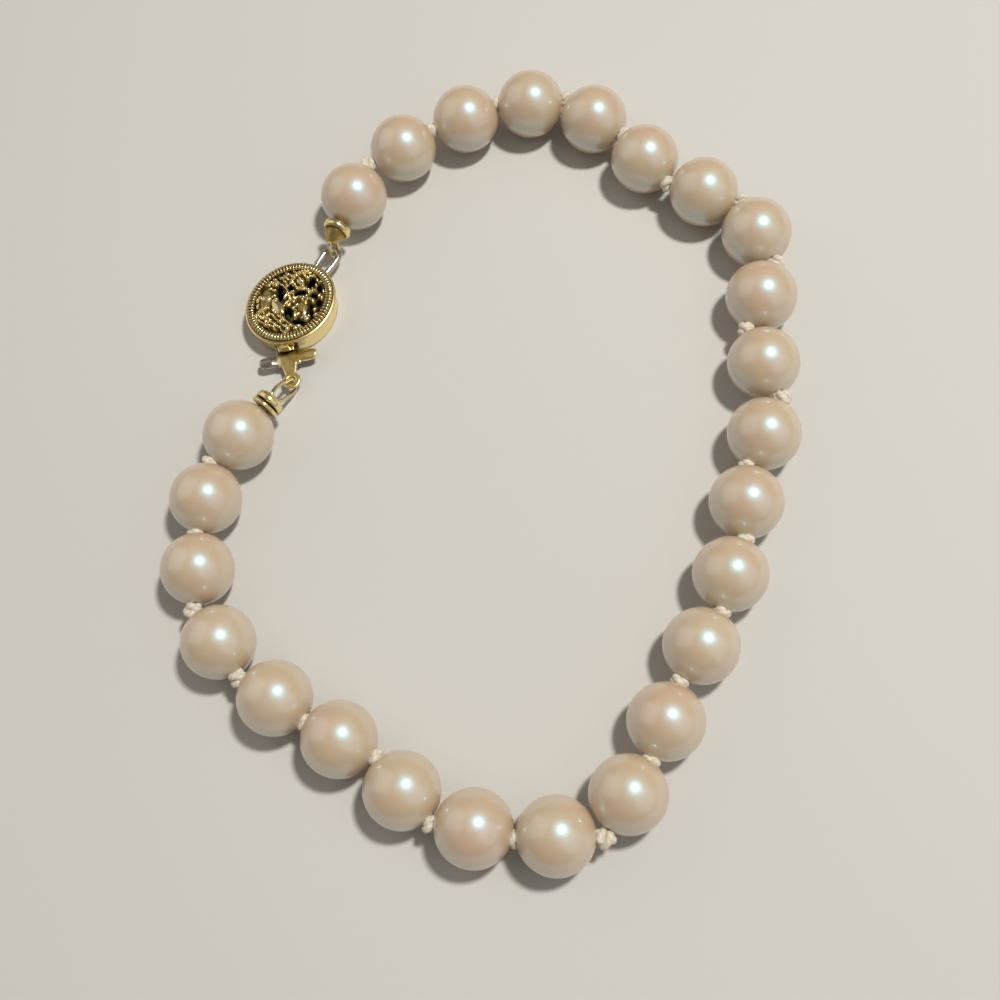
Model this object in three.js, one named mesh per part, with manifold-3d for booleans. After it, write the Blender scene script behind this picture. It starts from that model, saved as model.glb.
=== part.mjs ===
// Pearl bracelet: round pearls knotted on silk, closed by an oval filigree box clasp.
// It lies flat on the plane z = 0, +Z up. All sizes are in millimetres, all angles in degrees.

import * as THREE from 'three';
import { mergeVertices } from 'three/addons/utils/BufferGeometryUtils.js';
import Module from 'manifold-3d';

const wasm = await Module();
wasm.setup();

// Pearls
const pearlDiameter = 6.0;
const pearlSides = 14;
const pearlBands = 7;
const drillDiameter = 0.84;
const pearlSpacing = 0.3;

// Silk
const silkDiameter = 0.5;
const silkSides = 6;
const knotDiameter = 1.1;
const knotSides = 8;
const knotBands = 4;

// Bead tips, the metal cups that hold the two ends of the silk
const upperTipClearance = 0.25;
const lowerTipClearance = 0.12;
const upperCupLength = 1.85;
const lowerCupLength = 1.35;
const upperCupDiameter = 2.5;
const lowerCupDiameter = 2.6;
const cupSides = 16;
const cupBoreDiameter = 0.84;
const cupBoreDepth = 1.0;
const silkEndClearance = 0.25;
const hookWire = 0.36;
const upperHookOpening = 0.76;
const lowerHookOpening = 1.0;
const upperHookReach = -0.2;
const lowerHookReach = 1.93;
const upperHookSide = 0;
const lowerHookSide = 0.48;
const upperHookRoll = 0;
const lowerHookRoll = -33;
const lowerHookHeading = 84;
const wireSides = 6;
const wireSteps = 16;
const wireEndGap = 0.08;
const loopPower = 0.7;
const linkClearance = 0.3;

// Clasp box
const boxLength = 8.06;
const boxWidth = 7.12;
const boxWall = 0.35;
const backThickness = 0.35;
const faceTop = 2.45;
const faceThickness = 0.4;
const flangeOverhang = 0.25;
const flangeThickness = 0.3;
const borderWidth = 0.57;
const borderRise = 0.32;
const borderTeeth = 66;
const toothDepth = 0.14;
const ovalSides = 40;
const boxHeading = 46;

// Ring soldered on the end of the clasp box
const ringLength = 3.4;
const ringWidth = 1.95;
const ringWire = 0.45;
const ringHeight = 1.3;
const ringBearing = 12.2;

// Raised ornament of the clasp's face
const reliefRise = 0.32;
const reliefSink = 0.12;
const petalSides = 8;
const petalBands = 4;
const piercingSides = 10;
const scrollStep = 30;
const ridgePitch = 0.42;
const ridgeWidth = 0.22;

// Clasp tongue, with its cross plate, its eye and its folded spring
const tongueBearing = 222;
const tongueSwing = 55;
const tongueStandOff = 1.13;
const tongueLength = 5.2;
const tongueWidth = 2.1;
const tongueThickness = 0.3;
const tongueHeight = 0.85;
const springWidth = 1.5;
const springThickness = 0.22;
const springTop = 1.66;
const thumbWidth = 0.8;
const thumbTop = 2.6;
const thumbNear = 0.42;
const thumbFar = 0.72;
const thumbChamfer = 0.1;
const springFold = 0.44;
const slotClearance = 0.16;
const slotReach = 1.4;
const wingSpan = 5.2;
const wingDepth = 1.3;
const wingRound = 0.35;
const insertTaper = 0.35;
const neckWidth = 0.75;
const neckMouth = 80;
const eyeDistance = 2.15;
const eyeOuterDiameter = 1.62;
const eyeHoleDiameter = 0.96;

// Profiles of the two cups, from the pearl's side to the cone's tip.
// wide is the radius as a share of the cup's radius, far is the place as a share of the cup's length.
const upperCup = [
  { wide: 0.8, far: 0 },
  { wide: 0.98, far: 0.1 },
  { wide: 1.0, far: 0.26 },
  { wide: 0.88, far: 0.42 },
  { wide: 0.62, far: 0.66 },
  { wide: 0.3, far: 1.0 },
];
const lowerCup = [
  { wide: 0.9, far: 0 },
  { wide: 1.0, far: 0.08 },
  { wide: 1.0, far: 0.2 },
  { wide: 0.86, far: 0.27 },
  { wide: 0.86, far: 0.36 },
  { wide: 0.97, far: 0.43 },
  { wide: 0.97, far: 0.76 },
  { wide: 0.35, far: 1.0 },
];

// Route of the string, from the pearl beside the clasp's ring round to the one beside its tongue.
// heading is the direction of the pearl's drilled hole, seen from above.
// apart is the clear distance to the next pearl, as a share of pearlSpacing.
const route = [
  { heading: 67, apart: 1.95 },
  { heading: 30, apart: 1.35 },
  { heading: 23, apart: 0.5 },
  { heading: 1, apart: 0.4 },
  { heading: -41, apart: 1.3 },
  { heading: -51, apart: 0.95 },
  { heading: -23, apart: 0.4 },
  { heading: -69, apart: 0.9 },
  { heading: -112, apart: 0.9 },
  { heading: -73, apart: 1.4 },
  { heading: -115, apart: 0.4 },
  { heading: -100, apart: 0.55 },
  { heading: -111, apart: 0.75 },
  { heading: -118, apart: 1.5 },
  { heading: -117, apart: 0.4 },
  { heading: -122, apart: 0.5 },
  { heading: -181, apart: 0.4 },
  { heading: -190, apart: 0.4 },
  { heading: -225, apart: 1.05 },
  { heading: -211, apart: 0.55 },
  { heading: -213, apart: 2.25 },
  { heading: -233, apart: 1.75 },
  { heading: -267, apart: 0.4 },
  { heading: -276, apart: 0.4 },
  { heading: -309, apart: 1.0 },
];

// Openings of the filigree: centre, length and width in the face's plane, and the slant of the length.
// along is a share of half the box's length; every other length is a share of half the box's width.
const piercings = [
  { along: 0.01, across: 0.37, long: 0.42, wide: 0.12, slant: 49 },
  { along: -0.22, across: -0.20, long: 0.28, wide: 0.16, slant: 47 },
  { along: 0.25, across: 0.28, long: 0.13, wide: 0.10, slant: 42 },
  { along: 0.64, across: -0.03, long: 0.28, wide: 0.14, slant: 26 },
  { along: 0.66, across: -0.30, long: 0.14, wide: 0.12, slant: 46 },
  { along: 0.46, across: -0.34, long: 0.14, wide: 0.08, slant: -56 },
  { along: 0.40, across: -0.58, long: 0.15, wide: 0.12, slant: 51 },
  { along: 0.30, across: -0.01, long: 0.28, wide: 0.09, slant: -32 },
  { along: 0.16, across: -0.60, long: 0.35, wide: 0.07, slant: 53 },
  { along: -0.22, across: -0.60, long: 0.34, wide: 0.08, slant: -58 },
];

// Scrolls: centre of the curl, its radius, the arc that it runs through, and whether it has milled ridges.
const scrolls = [
  { along: 0.53, across: 0.10, radius: 0.34, start: 24, sweep: 115, wide: 0.10, milled: true },
  { along: -0.60, across: -0.05, radius: 0.41, start: 61, sweep: 88, wide: 0.10, milled: true },
  { along: 0.21, across: -0.37, radius: 0.67, start: 168, sweep: 52, wide: 0.06, milled: false },
  { along: -0.32, across: -0.52, radius: 0.33, start: 144, sweep: 68, wide: 0.05, milled: false },
  { along: -0.19, across: -0.54, radius: 0.65, start: 14, sweep: 32, wide: 0.07, milled: false },
  { along: 0.00, across: 0.36, radius: 0.19, start: -96, sweep: 110, wide: 0.06, milled: false },
];

// Petals and leaves: centre, length, width and slant of each almond.
const petals = [
  { along: 0.15, across: 0.51, long: 0.17, wide: 0.07, slant: -76 },
  { along: 0.06, across: -0.50, long: 0.42, wide: 0.14, slant: 43 },
  { along: -0.13, across: -0.38, long: 0.28, wide: 0.11, slant: 40 },
  { along: -0.27, across: 0.12, long: 0.48, wide: 0.24, slant: 82 },
  { along: -0.30, across: 0.53, long: 0.24, wide: 0.17, slant: -46 },
  { along: -0.62, across: 0.06, long: 0.31, wide: 0.12, slant: -82 },
  { along: -0.50, across: -0.20, long: 0.27, wide: 0.08, slant: -87 },
  { along: -0.41, across: -0.21, long: 0.18, wide: 0.08, slant: 83 },
  { along: -0.76, across: 0.01, long: 0.27, wide: 0.07, slant: -84 },
  { along: -0.87, across: -0.01, long: 0.14, wide: 0.07, slant: 90 },
  { along: -0.87, across: -0.21, long: 0.14, wide: 0.07, slant: -88 },
  { along: -0.59, across: -0.28, long: 0.15, wide: 0.07, slant: 89 },
  { along: -0.48, across: -0.52, long: 0.18, wide: 0.13, slant: 32 },
  { along: 0.41, across: 0.07, long: 0.25, wide: 0.19, slant: -46 },
  { along: 0.20, across: 0.13, long: 0.12, wide: 0.09, slant: -36 },
  { along: 0.09, across: 0.11, long: 0.14, wide: 0.09, slant: 34 },
  { along: 0.03, across: 0.02, long: 0.12, wide: 0.08, slant: -16 },
  { along: -0.11, across: 0.00, long: 0.11, wide: 0.08, slant: -36 },
  { along: 0.52, across: 0.18, long: 0.14, wide: 0.13, slant: 14 },
  { along: 0.67, across: 0.13, long: 0.12, wide: 0.11, slant: 14 },
  { along: 0.78, across: 0.06, long: 0.10, wide: 0.10, slant: 14 },
  { along: 0.46, across: -0.12, long: 0.11, wide: 0.08, slant: 14 },
  { along: 0.50, across: -0.23, long: 0.10, wide: 0.08, slant: 14 },
  { along: 0.56, across: -0.27, long: 0.10, wide: 0.08, slant: 14 },
];

const pearlRadius = pearlDiameter / 2;
const halfWidth = boxWidth / 2;
const silkHeight = pearlRadius;
const mergeTolerance = 1e-4;
const overlap = 0.1;
const turn = (degrees) => THREE.MathUtils.degToRad(degrees);

const pearlMaterial = () => new THREE.MeshStandardMaterial({ color: 0xe8d9c6, roughness: 0.25, metalness: 0.0 });
const silkMaterial = () => new THREE.MeshStandardMaterial({ color: 0xece2cc, roughness: 0.8, metalness: 0.0 });
const goldMaterial = () => new THREE.MeshStandardMaterial({ color: 0xb8924a, roughness: 0.28, metalness: 1.0 });

// Closed geometry to solid: only positions, shared vertices merged, collapsed triangles dropped.
function toSolid(geometry) {
  const bare = geometry.clone();
  bare.deleteAttribute('normal');
  bare.deleteAttribute('uv');
  const merged = mergeVertices(bare, mergeTolerance);
  const index = merged.index.array;
  const kept = [];
  for (let i = 0; i < index.length; i += 3) {
    const [a, b, c] = [index[i], index[i + 1], index[i + 2]];
    if (a !== b && b !== c && c !== a) kept.push(a, b, c);
  }
  const vertProperties = new Float32Array(merged.attributes.position.array);
  const triVerts = new Uint32Array(kept);
  return new wasm.Manifold(new wasm.Mesh({ numProp: 3, vertProperties, triVerts }));
}

function toGeometry(solid) {
  const mesh = solid.getMesh();
  const geometry = new THREE.BufferGeometry();
  geometry.setAttribute('position', new THREE.BufferAttribute(new Float32Array(mesh.vertProperties), 3));
  geometry.setIndex(new THREE.BufferAttribute(new Uint32Array(mesh.triVerts), 1));
  geometry.computeVertexNormals();
  return geometry;
}

function join(solids) {
  return solids.reduce((whole, piece) => whole.add(piece));
}

// Solid of revolution about the X axis; each profile point is [distance from axis, place along X].
// A flat side of the polygon, not a corner, faces straight down.
function turned(profile, sides) {
  const points = profile.map(([radius, place]) => new THREE.Vector2(radius, place));
  const geometry = new THREE.LatheGeometry(points, sides, Math.PI / sides);
  geometry.rotateZ(-Math.PI / 2);
  return geometry;
}

function oval(length, width, sides = ovalSides) {
  const points = [];
  for (let i = 0; i < sides; i++) {
    const angle = (2 * Math.PI * i) / sides;
    points.push(new THREE.Vector2((length / 2) * Math.cos(angle), (width / 2) * Math.sin(angle)));
  }
  return new THREE.Shape(points);
}

// Flat outline raised from the height low to the height high.
function slab(shape, low, high) {
  const geometry = new THREE.ExtrudeGeometry(shape, { depth: high - low, bevelEnabled: false });
  geometry.translate(0, 0, low);
  return geometry;
}

// Round wire along a curve.
function wire(curve, diameter, steps, sides = wireSides) {
  const section = oval(diameter, diameter, sides);
  return new THREE.ExtrudeGeometry(section, { extrudePath: curve, steps, bevelEnabled: false });
}

// Arc of an oval in space, from its centre and its two half axes.
// The oval is an ellipse with fuller corners: the sine and the cosine are raised to loopPower.
class SpaceArc extends THREE.Curve {
  constructor(centre, along, across, start, end) {
    super();
    Object.assign(this, { centre, along, across, start, end });
  }

  getPoint(share, target = new THREE.Vector3()) {
    const angle = this.start + (this.end - this.start) * share;
    target.copy(this.centre);
    target.addScaledVector(this.along, fuller(Math.cos(angle)));
    return target.addScaledVector(this.across, fuller(Math.sin(angle)));
  }
}

function fuller(part) {
  return Math.sign(part) * Math.abs(part) ** loopPower;
}

// Loop of wire, long along one half axis and wide across it, whose two ends nearly meet at its root.
function loopOfWire(centre, along, across, diameter) {
  const mouth = 2 * Math.asin((wireEndGap / 2 / across.length()) ** (1 / loopPower));
  const start = Math.PI + mouth / 2;
  const end = start + 2 * Math.PI - mouth;
  return toSolid(wire(new SpaceArc(centre, along, across, start, end), diameter, wireSteps));
}

function headingVector(degrees, length = 1) {
  return new THREE.Vector3(length * Math.cos(turn(degrees)), length * Math.sin(turn(degrees)), 0);
}

// Round pearl, drilled along X. Its middle band touches the true diameter, so it rests at its radius.
function pearlGeometry() {
  const outward = 1 / Math.cos(Math.PI / pearlSides);
  const mouth = Math.asin(drillDiameter / pearlDiameter);
  const step = (Math.PI - 2 * mouth) / pearlBands;
  const profile = [];
  for (let band = 0; band <= pearlBands; band++) {
    const angle = mouth + band * step;
    const beside = Math.abs(angle - Math.PI / 2) < step;
    const reach = beside ? 1 : Math.sin(angle);
    profile.push([pearlRadius * reach * outward, -pearlRadius * Math.cos(angle)]);
  }
  profile.push(profile[0]);
  return turned(profile, pearlSides);
}

// Distance between the mouths of two drilled holes that meet at a bend, with the pearls apart by clear.
function mouthGap(bend, clear) {
  return (pearlDiameter + clear) / Math.cos(turn(bend / 2)) - pearlDiameter;
}

// The string laid out pearl by pearl from the centre of the first one.
// The two easings turn its middle a little, so that it closes on the clasp whatever the sizes are.
function layString(start, easeOne, easeTwo) {
  const last = route.length - 1;
  const headings = route.map((row, i) => {
    const share = (Math.PI * i) / last;
    return row.heading + easeOne * Math.sin(share) + easeTwo * Math.sin(2 * share);
  });
  const centres = [start.clone()];
  const knots = [];
  for (let i = 0; i < last; i++) {
    const bend = headings[i + 1] - headings[i];
    const gap = mouthGap(bend, pearlSpacing * route[i].apart);
    const half = pearlRadius + gap / 2;
    const place = centres[i].clone().add(headingVector(headings[i], half));
    knots.push({ place, gap, bend, heading: (headings[i] + headings[i + 1]) / 2 });
    centres.push(place.clone().add(headingVector(headings[i + 1], half)));
  }
  return { headings, centres, knots };
}

// Newton steps on the two easings until the last pearl's centre falls on the goal.
function closeString(start, goal) {
  const nudge = 0.01;
  const steps = 30;
  let [one, two] = [0, 0];
  for (let i = 0; i < steps; i++) {
    const end = layString(start, one, two).centres.at(-1);
    const byOne = layString(start, one + nudge, two).centres.at(-1).sub(end).divideScalar(nudge);
    const byTwo = layString(start, one, two + nudge).centres.at(-1).sub(end).divideScalar(nudge);
    const miss = goal.clone().sub(end);
    const area = byOne.x * byTwo.y - byOne.y * byTwo.x;
    one += (miss.x * byTwo.y - miss.y * byTwo.x) / area;
    two += (byOne.x * miss.y - byOne.y * miss.x) / area;
  }
  return layString(start, one, two);
}

// Flattened knot in the wedge between two pearls, set towards the open side of the bend.
function knotSolid(knot) {
  const radius = knotDiameter / 2;
  const geometry = new THREE.SphereGeometry(1, knotSides, knotBands);
  geometry.rotateZ(Math.PI / 2);
  geometry.scale(knot.gap / 2, radius, radius);
  geometry.translate(0, -radius * Math.sin(turn(knot.bend / 2)), 0);
  geometry.rotateZ(turn(knot.heading));
  geometry.translate(knot.place.x, knot.place.y, knot.place.z);
  return toSolid(geometry);
}

function silkRun(from, to) {
  return toSolid(wire(new THREE.LineCurve3(from, to), silkDiameter, 1, silkSides));
}

// One silk from cup to cup, straight through every pearl, with a knot after each.
function silkSolid(string) {
  const inCup = pearlRadius + cupBoreDepth - silkEndClearance;
  const first = string.centres[0].clone();
  first.sub(headingVector(string.headings[0], inCup + upperTipClearance));
  const final = string.centres.at(-1).clone();
  final.add(headingVector(string.headings.at(-1), inCup + lowerTipClearance));
  const stops = [first, ...string.knots.map((knot) => knot.place), final];
  const runs = stops.slice(1).map((stop, i) => silkRun(stops[i], stop));
  return join([...runs, ...string.knots.map(knotSolid)]);
}

// Cup with a blind hole for the silk; its face is at x = 0 and its cone ends at length.
function cupSolid(rows, diameter, length) {
  const bore = cupBoreDiameter / 2;
  const outside = rows.map((row) => [(row.wide * diameter) / 2, row.far * length]);
  const closed = [[0, cupBoreDepth], [bore, cupBoreDepth], [bore, 0], ...outside, [0, length]];
  return toSolid(turned(closed, cupSides));
}

// Loop of wire that leaves the cone's tip, goes round the clasp's wire at held and comes back.
function hookSolid(cupLength, held, opening, roll, heldWire) {
  const root = new THREE.Vector3(cupLength - hookWire / 2, 0, 0);
  const along = held.clone().sub(root).normalize();
  const beyond = heldWire / 2 + linkClearance + hookWire / 2;
  const halfLong = (held.distanceTo(root) + beyond) / 2;
  const upright = new THREE.Vector3(0, 1, 0).cross(along).normalize();
  const across = upright.applyAxisAngle(along, turn(roll));
  const halfWide = (opening + hookWire) / 2;
  const centre = root.clone().addScaledVector(along, halfLong);
  return loopOfWire(centre, along.multiplyScalar(halfLong), across.multiplyScalar(halfWide), hookWire);
}

function beadTip(cup, hook) {
  return toGeometry(cup.add(hook));
}

// Oval ring outline with radial teeth on its outer edge.
function borderShape() {
  const points = [];
  for (let i = 0; i < borderTeeth * 2; i++) {
    const angle = (Math.PI * (i + 0.5)) / borderTeeth;
    const outward = (i % 2 === 0 ? 0 : -toothDepth);
    points.push(new THREE.Vector2(
      (boxLength / 2 + outward) * Math.cos(angle),
      (boxWidth / 2 + outward) * Math.sin(angle),
    ));
  }
  const shape = new THREE.Shape(points);
  shape.holes.push(oval(boxLength - 2 * borderWidth, boxWidth - 2 * borderWidth));
  return shape;
}

// Point of the face's plane from shares of its half length and half width.
function onFace(row) {
  return new THREE.Vector2((row.along * boxLength) / 2, row.across * halfWidth);
}

function placeOnFace(geometry, row) {
  const place = onFace(row);
  geometry.rotateZ(turn(row.slant ?? 0));
  return geometry.translate(place.x, place.y, 0);
}

function piercingSolid(row) {
  const low = faceTop - faceThickness - overlap;
  const high = faceTop + borderRise + overlap;
  const outline = oval(row.long * halfWidth, row.wide * halfWidth, piercingSides);
  return toSolid(placeOnFace(slab(outline, low, high), row));
}

// Almond that stands proud of the face.
function petalSolid(row) {
  const geometry = new THREE.SphereGeometry(1, petalSides, petalBands);
  const size = new THREE.Vector2(row.long, row.wide).multiplyScalar(halfWidth / 2);
  geometry.rotateX(Math.PI / 2);
  geometry.scale(size.x, size.y, reliefRise + reliefSink);
  geometry.translate(0, 0, faceTop - reliefSink);
  return toSolid(placeOnFace(geometry, row));
}

// Curl of the filigree: a flat band along an arc; a milled one has a row of ridges across it.
function scrollSolid(row) {
  const radius = row.radius * halfWidth;
  const width = row.wide * halfWidth;
  const inner = radius - width / 2;
  const outer = radius + width / 2;
  const [start, end] = [turn(row.start), turn(row.start + row.sweep)];
  const steps = Math.ceil(row.sweep / scrollStep);
  const points = [];
  const step = (end - start) / steps;
  for (let i = 0; i <= steps; i++) points.push([outer, start + step * i]);
  for (let i = steps; i >= 0; i--) points.push([inner, start + step * i]);
  const outline = points.map(([reach, angle]) => {
    return new THREE.Vector2(reach * Math.cos(angle), reach * Math.sin(angle));
  });
  const band = slab(new THREE.Shape(outline), faceTop - reliefSink, faceTop + reliefRise / 2);
  const ridges = row.milled ? Math.floor((radius * (end - start)) / ridgePitch) : 0;
  const pieces = [toSolid(placeOnFace(band, { ...row, slant: 0 }))];
  for (let i = 0; i < ridges; i++) {
    const angle = start + ((end - start) * (i + 0.5)) / ridges;
    const ridge = new THREE.BoxGeometry(width, ridgeWidth, reliefRise + reliefSink);
    ridge.translate(radius, 0, faceTop + (reliefRise - reliefSink) / 2);
    ridge.rotateZ(angle);
    pieces.push(toSolid(placeOnFace(ridge, { ...row, slant: 0 })));
  }
  return join(pieces);
}

// Distance from the box's centre to the outside of its wall, seen along bearing.
function wallDistance(bearing) {
  const along = Math.cos(turn(bearing)) / (boxLength / 2);
  const across = Math.sin(turn(bearing)) / halfWidth;
  return 1 / Math.hypot(along, across);
}

// Long oval ring in a level plane, sunk in the wall of the box by its wire.
function ringSolid() {
  const centre = headingVector(ringBearing, ringDistance());
  centre.z = ringHeight;
  const along = headingVector(ringBearing, (ringLength - ringWire) / 2);
  const across = headingVector(ringBearing + 90, (ringWidth - ringWire) / 2);
  return loopOfWire(centre, along, across, ringWire);
}

function ringDistance() {
  return wallDistance(ringBearing) - ringWire + ringLength / 2;
}

// Hollow of the box under its pierced face, open at the slot for the tongue.
function hollowSolid() {
  return toSolid(slab(
    oval(boxLength - 2 * boxWall, boxWidth - 2 * boxWall),
    backThickness,
    faceTop - faceThickness,
  ));
}

function slotSolid() {
  const width = tongueWidth + 2 * slotClearance;
  const low = tongueHeight - slotClearance;
  const high = springTop + slotClearance;
  const length = tongueStandOff + slotReach;
  const geometry = new THREE.BoxGeometry(length, width, high - low);
  geometry.translate(length / 2, 0, (low + high) / 2);
  geometry.rotateZ(turn(tongueSwing));
  geometry.translate(tonguePlace().x, tonguePlace().y, 0);
  return toSolid(geometry);
}

// Middle of the cross plate, seen from the box's centre along tongueBearing, just outside the wall.
function tonguePlace() {
  return headingVector(tongueBearing, wallDistance(tongueBearing) + tongueStandOff);
}

// The soldered clasp box: back, wall, flange, milled border, pierced face, raised ornament and ring.
function claspBoxGeometry() {
  const wall = toSolid(slab(oval(boxLength, boxWidth), 0, faceTop));
  const flangeOutline = oval(boxLength + 2 * flangeOverhang, boxWidth + 2 * flangeOverhang);
  const flangeLow = faceTop - faceThickness;
  const flange = toSolid(slab(flangeOutline, flangeLow, flangeLow + flangeThickness));
  const border = toSolid(slab(borderShape(), faceTop - overlap, faceTop + borderRise));
  const shell = join([wall, flange, border, ringSolid()]).subtract(hollowSolid()).subtract(slotSolid());
  const ornament = join([...scrolls.map(scrollSolid), ...petals.map(petalSolid)]);
  const pierced = shell.add(ornament).subtract(join(piercings.map(piercingSolid)));
  return toGeometry(pierced);
}

// Cross plate, neck, eye and insert of the tongue, cut from one sheet, from the tip of one side
// round the eye to the tip of the other.
function tongueOutline() {
  const shape = new THREE.Shape();
  const tip = tongueWidth / 2 - insertTaper;
  shape.moveTo(tongueLength, -tip);
  shape.lineTo(tongueLength, tip);
  shape.lineTo(tongueLength - insertTaper, tongueWidth / 2);
  shape.lineTo(wingDepth / 2, tongueWidth / 2);
  shape.quadraticCurveTo(wingDepth / 2, wingSpan / 2, 0, wingSpan / 2);
  shape.quadraticCurveTo(-wingDepth / 2, wingSpan / 2 - wingRound, -wingDepth / 2, neckWidth);
  shape.absarc(-eyeDistance, 0, eyeOuterDiameter / 2, turn(neckMouth / 2), turn(360 - neckMouth / 2), false);
  shape.lineTo(-wingDepth / 2, -neckWidth);
  shape.quadraticCurveTo(-wingDepth / 2, wingRound - wingSpan / 2, 0, -wingSpan / 2);
  shape.quadraticCurveTo(wingDepth / 2, -wingSpan / 2, wingDepth / 2, -tongueWidth / 2);
  shape.lineTo(tongueLength - insertTaper, -tongueWidth / 2);
  shape.closePath();
  const hole = new THREE.Path();
  hole.absarc(-eyeDistance, 0, eyeHoleDiameter / 2, 0, 2 * Math.PI, true);
  shape.holes.push(hole);
  return shape;
}

// Side view of the folded spring: it rises from the insert's tip back to the slot.
function springSolid() {
  const shape = new THREE.Shape();
  const foot = tongueHeight + tongueThickness / 2;
  shape.moveTo(tongueLength, foot);
  shape.lineTo(tongueLength, foot + tongueThickness);
  shape.lineTo(thumbNear, springTop);
  shape.lineTo(thumbNear, springTop - springThickness);
  shape.lineTo(tongueLength - springFold, foot);
  shape.closePath();
  return toSolid(sideways(shape, springWidth));
}

function thumbSolid() {
  const shape = new THREE.Shape();
  const low = springTop - springThickness;
  shape.moveTo(thumbNear, low);
  shape.lineTo(thumbFar, low);
  shape.lineTo(thumbFar, thumbTop - thumbChamfer);
  shape.lineTo((thumbNear + thumbFar) / 2, thumbTop);
  shape.lineTo(thumbNear, thumbTop - thumbChamfer);
  shape.closePath();
  return toSolid(sideways(shape, thumbWidth));
}

// Outline in the plane of X and Z, carried across Y by width, half to each side.
function sideways(shape, width) {
  const geometry = slab(shape, -width / 2, width / 2);
  return geometry.rotateX(Math.PI / 2);
}

function claspTongueGeometry() {
  const sheet = new THREE.ExtrudeGeometry(tongueOutline(), {
    depth: tongueThickness,
    bevelEnabled: false,
    curveSegments: 5,
  });
  sheet.translate(0, 0, tongueHeight);
  return toGeometry(join([toSolid(sheet), springSolid(), thumbSolid()]));
}

// Where the two hooks hold the clasp, in the plane of the clasp with the box's centre at the origin.
function heldPoints() {
  const ringEnd = ringDistance() + (ringLength - ringWire) / 2;
  const eyeWire = (eyeOuterDiameter + eyeHoleDiameter) / 4;
  const eye = tonguePlace().add(headingVector(tongueSwing, -eyeDistance));
  eye.applyAxisAngle(new THREE.Vector3(0, 0, 1), turn(boxHeading));
  const upper = headingVector(boxHeading + ringBearing, ringEnd);
  const lower = eye.sub(headingVector(lowerHookHeading, eyeWire));
  return { upper, lower };
}

function named(name, geometry, material) {
  const mesh = new THREE.Mesh(geometry, material);
  mesh.name = name;
  return mesh;
}

function placedTip(name, geometry, face, heading) {
  const mesh = named(name, geometry, goldMaterial());
  mesh.position.copy(face);
  mesh.position.z = silkHeight;
  mesh.rotation.z = turn(heading);
  return mesh;
}

function buildClasp() {
  const clasp = new THREE.Group();
  clasp.rotation.z = turn(boxHeading);
  clasp.add(named('clasp_box', claspBoxGeometry(), goldMaterial()));
  const tongue = named('clasp_tongue', claspTongueGeometry(), goldMaterial());
  tongue.position.copy(tonguePlace());
  tongue.rotation.z = turn(tongueSwing);
  clasp.add(tongue);
  return clasp;
}

// Point of the clasp that a tip's hook goes round, seen from the middle of the cup's face.
function heldByTip(ahead, aside, height) {
  return new THREE.Vector3(ahead, aside, height - silkHeight);
}

function buildTips(upperFace, lowerFace) {
  const eyeHeight = tongueHeight + tongueThickness / 2;
  const eyeWire = (eyeOuterDiameter - eyeHoleDiameter) / 2;
  const upperHeld = heldByTip(upperCupLength + upperHookReach, upperHookSide, ringHeight);
  const lowerHeld = heldByTip(lowerCupLength + lowerHookReach, lowerHookSide, eyeHeight);
  const upperHook = hookSolid(upperCupLength, upperHeld, upperHookOpening, upperHookRoll, ringWire);
  const lowerHook = hookSolid(lowerCupLength, lowerHeld, lowerHookOpening, lowerHookRoll, eyeWire);
  const upper = beadTip(cupSolid(upperCup, upperCupDiameter, upperCupLength), upperHook);
  const lower = beadTip(cupSolid(lowerCup, lowerCupDiameter, lowerCupLength), lowerHook);
  return [
    placedTip('bead_tip_upper', upper, upperFace, route[0].heading + 180),
    placedTip('bead_tip_lower', lower, lowerFace, route.at(-1).heading),
  ];
}

function buildPearls(string) {
  const geometry = pearlGeometry();
  return string.centres.map((centre, i) => {
    const number = String(i + 1).padStart(2, '0');
    const pearl = named(`pearl_${number}`, geometry, pearlMaterial());
    pearl.position.copy(centre);
    pearl.rotation.z = turn(string.headings[i]);
    return pearl;
  });
}

function buildBracelet() {
  const lying = new THREE.Group();
  const held = heldPoints();
  const [first, last] = [route[0].heading, route.at(-1).heading];
  const upperFace = held.upper.clone().add(headingVector(first, upperCupLength + upperHookReach));
  upperFace.add(headingVector(first + 90, upperHookSide));
  const lowerFace = held.lower.clone().sub(headingVector(last, lowerCupLength + lowerHookReach));
  lowerFace.sub(headingVector(last + 90, lowerHookSide));
  const start = upperFace.clone().add(headingVector(first, upperTipClearance + pearlRadius));
  const goal = lowerFace.clone().sub(headingVector(last, lowerTipClearance + pearlRadius));
  start.z = silkHeight;
  goal.z = silkHeight;
  const string = closeString(start, goal);
  lying.add(...buildPearls(string));
  lying.add(named('silk_thread', toGeometry(silkSolid(string)), silkMaterial()));
  lying.add(...buildTips(upperFace, lowerFace));
  lying.add(buildClasp());
  return lying;
}

const bracelet = new THREE.Group();
const lying = buildBracelet();
bracelet.add(lying);
bracelet.updateMatrixWorld(true);
const bounds = new THREE.Box3().setFromObject(bracelet, true);
const middle = bounds.getCenter(new THREE.Vector3());
lying.position.set(-middle.x, -middle.y, -bounds.min.z);

export default bracelet;
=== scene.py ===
"""Dresses the pearl bracelet: smooth nacre, knotted silk and an antique gold filigree clasp.

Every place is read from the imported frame, and every size below is in millimetres unless it says otherwise.
"""

import logging
import math
from collections.abc import Callable
from dataclasses import dataclass, field
from enum import Enum
from functools import partial

import bpy
import numpy as np
from mathutils import Matrix, Vector


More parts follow.
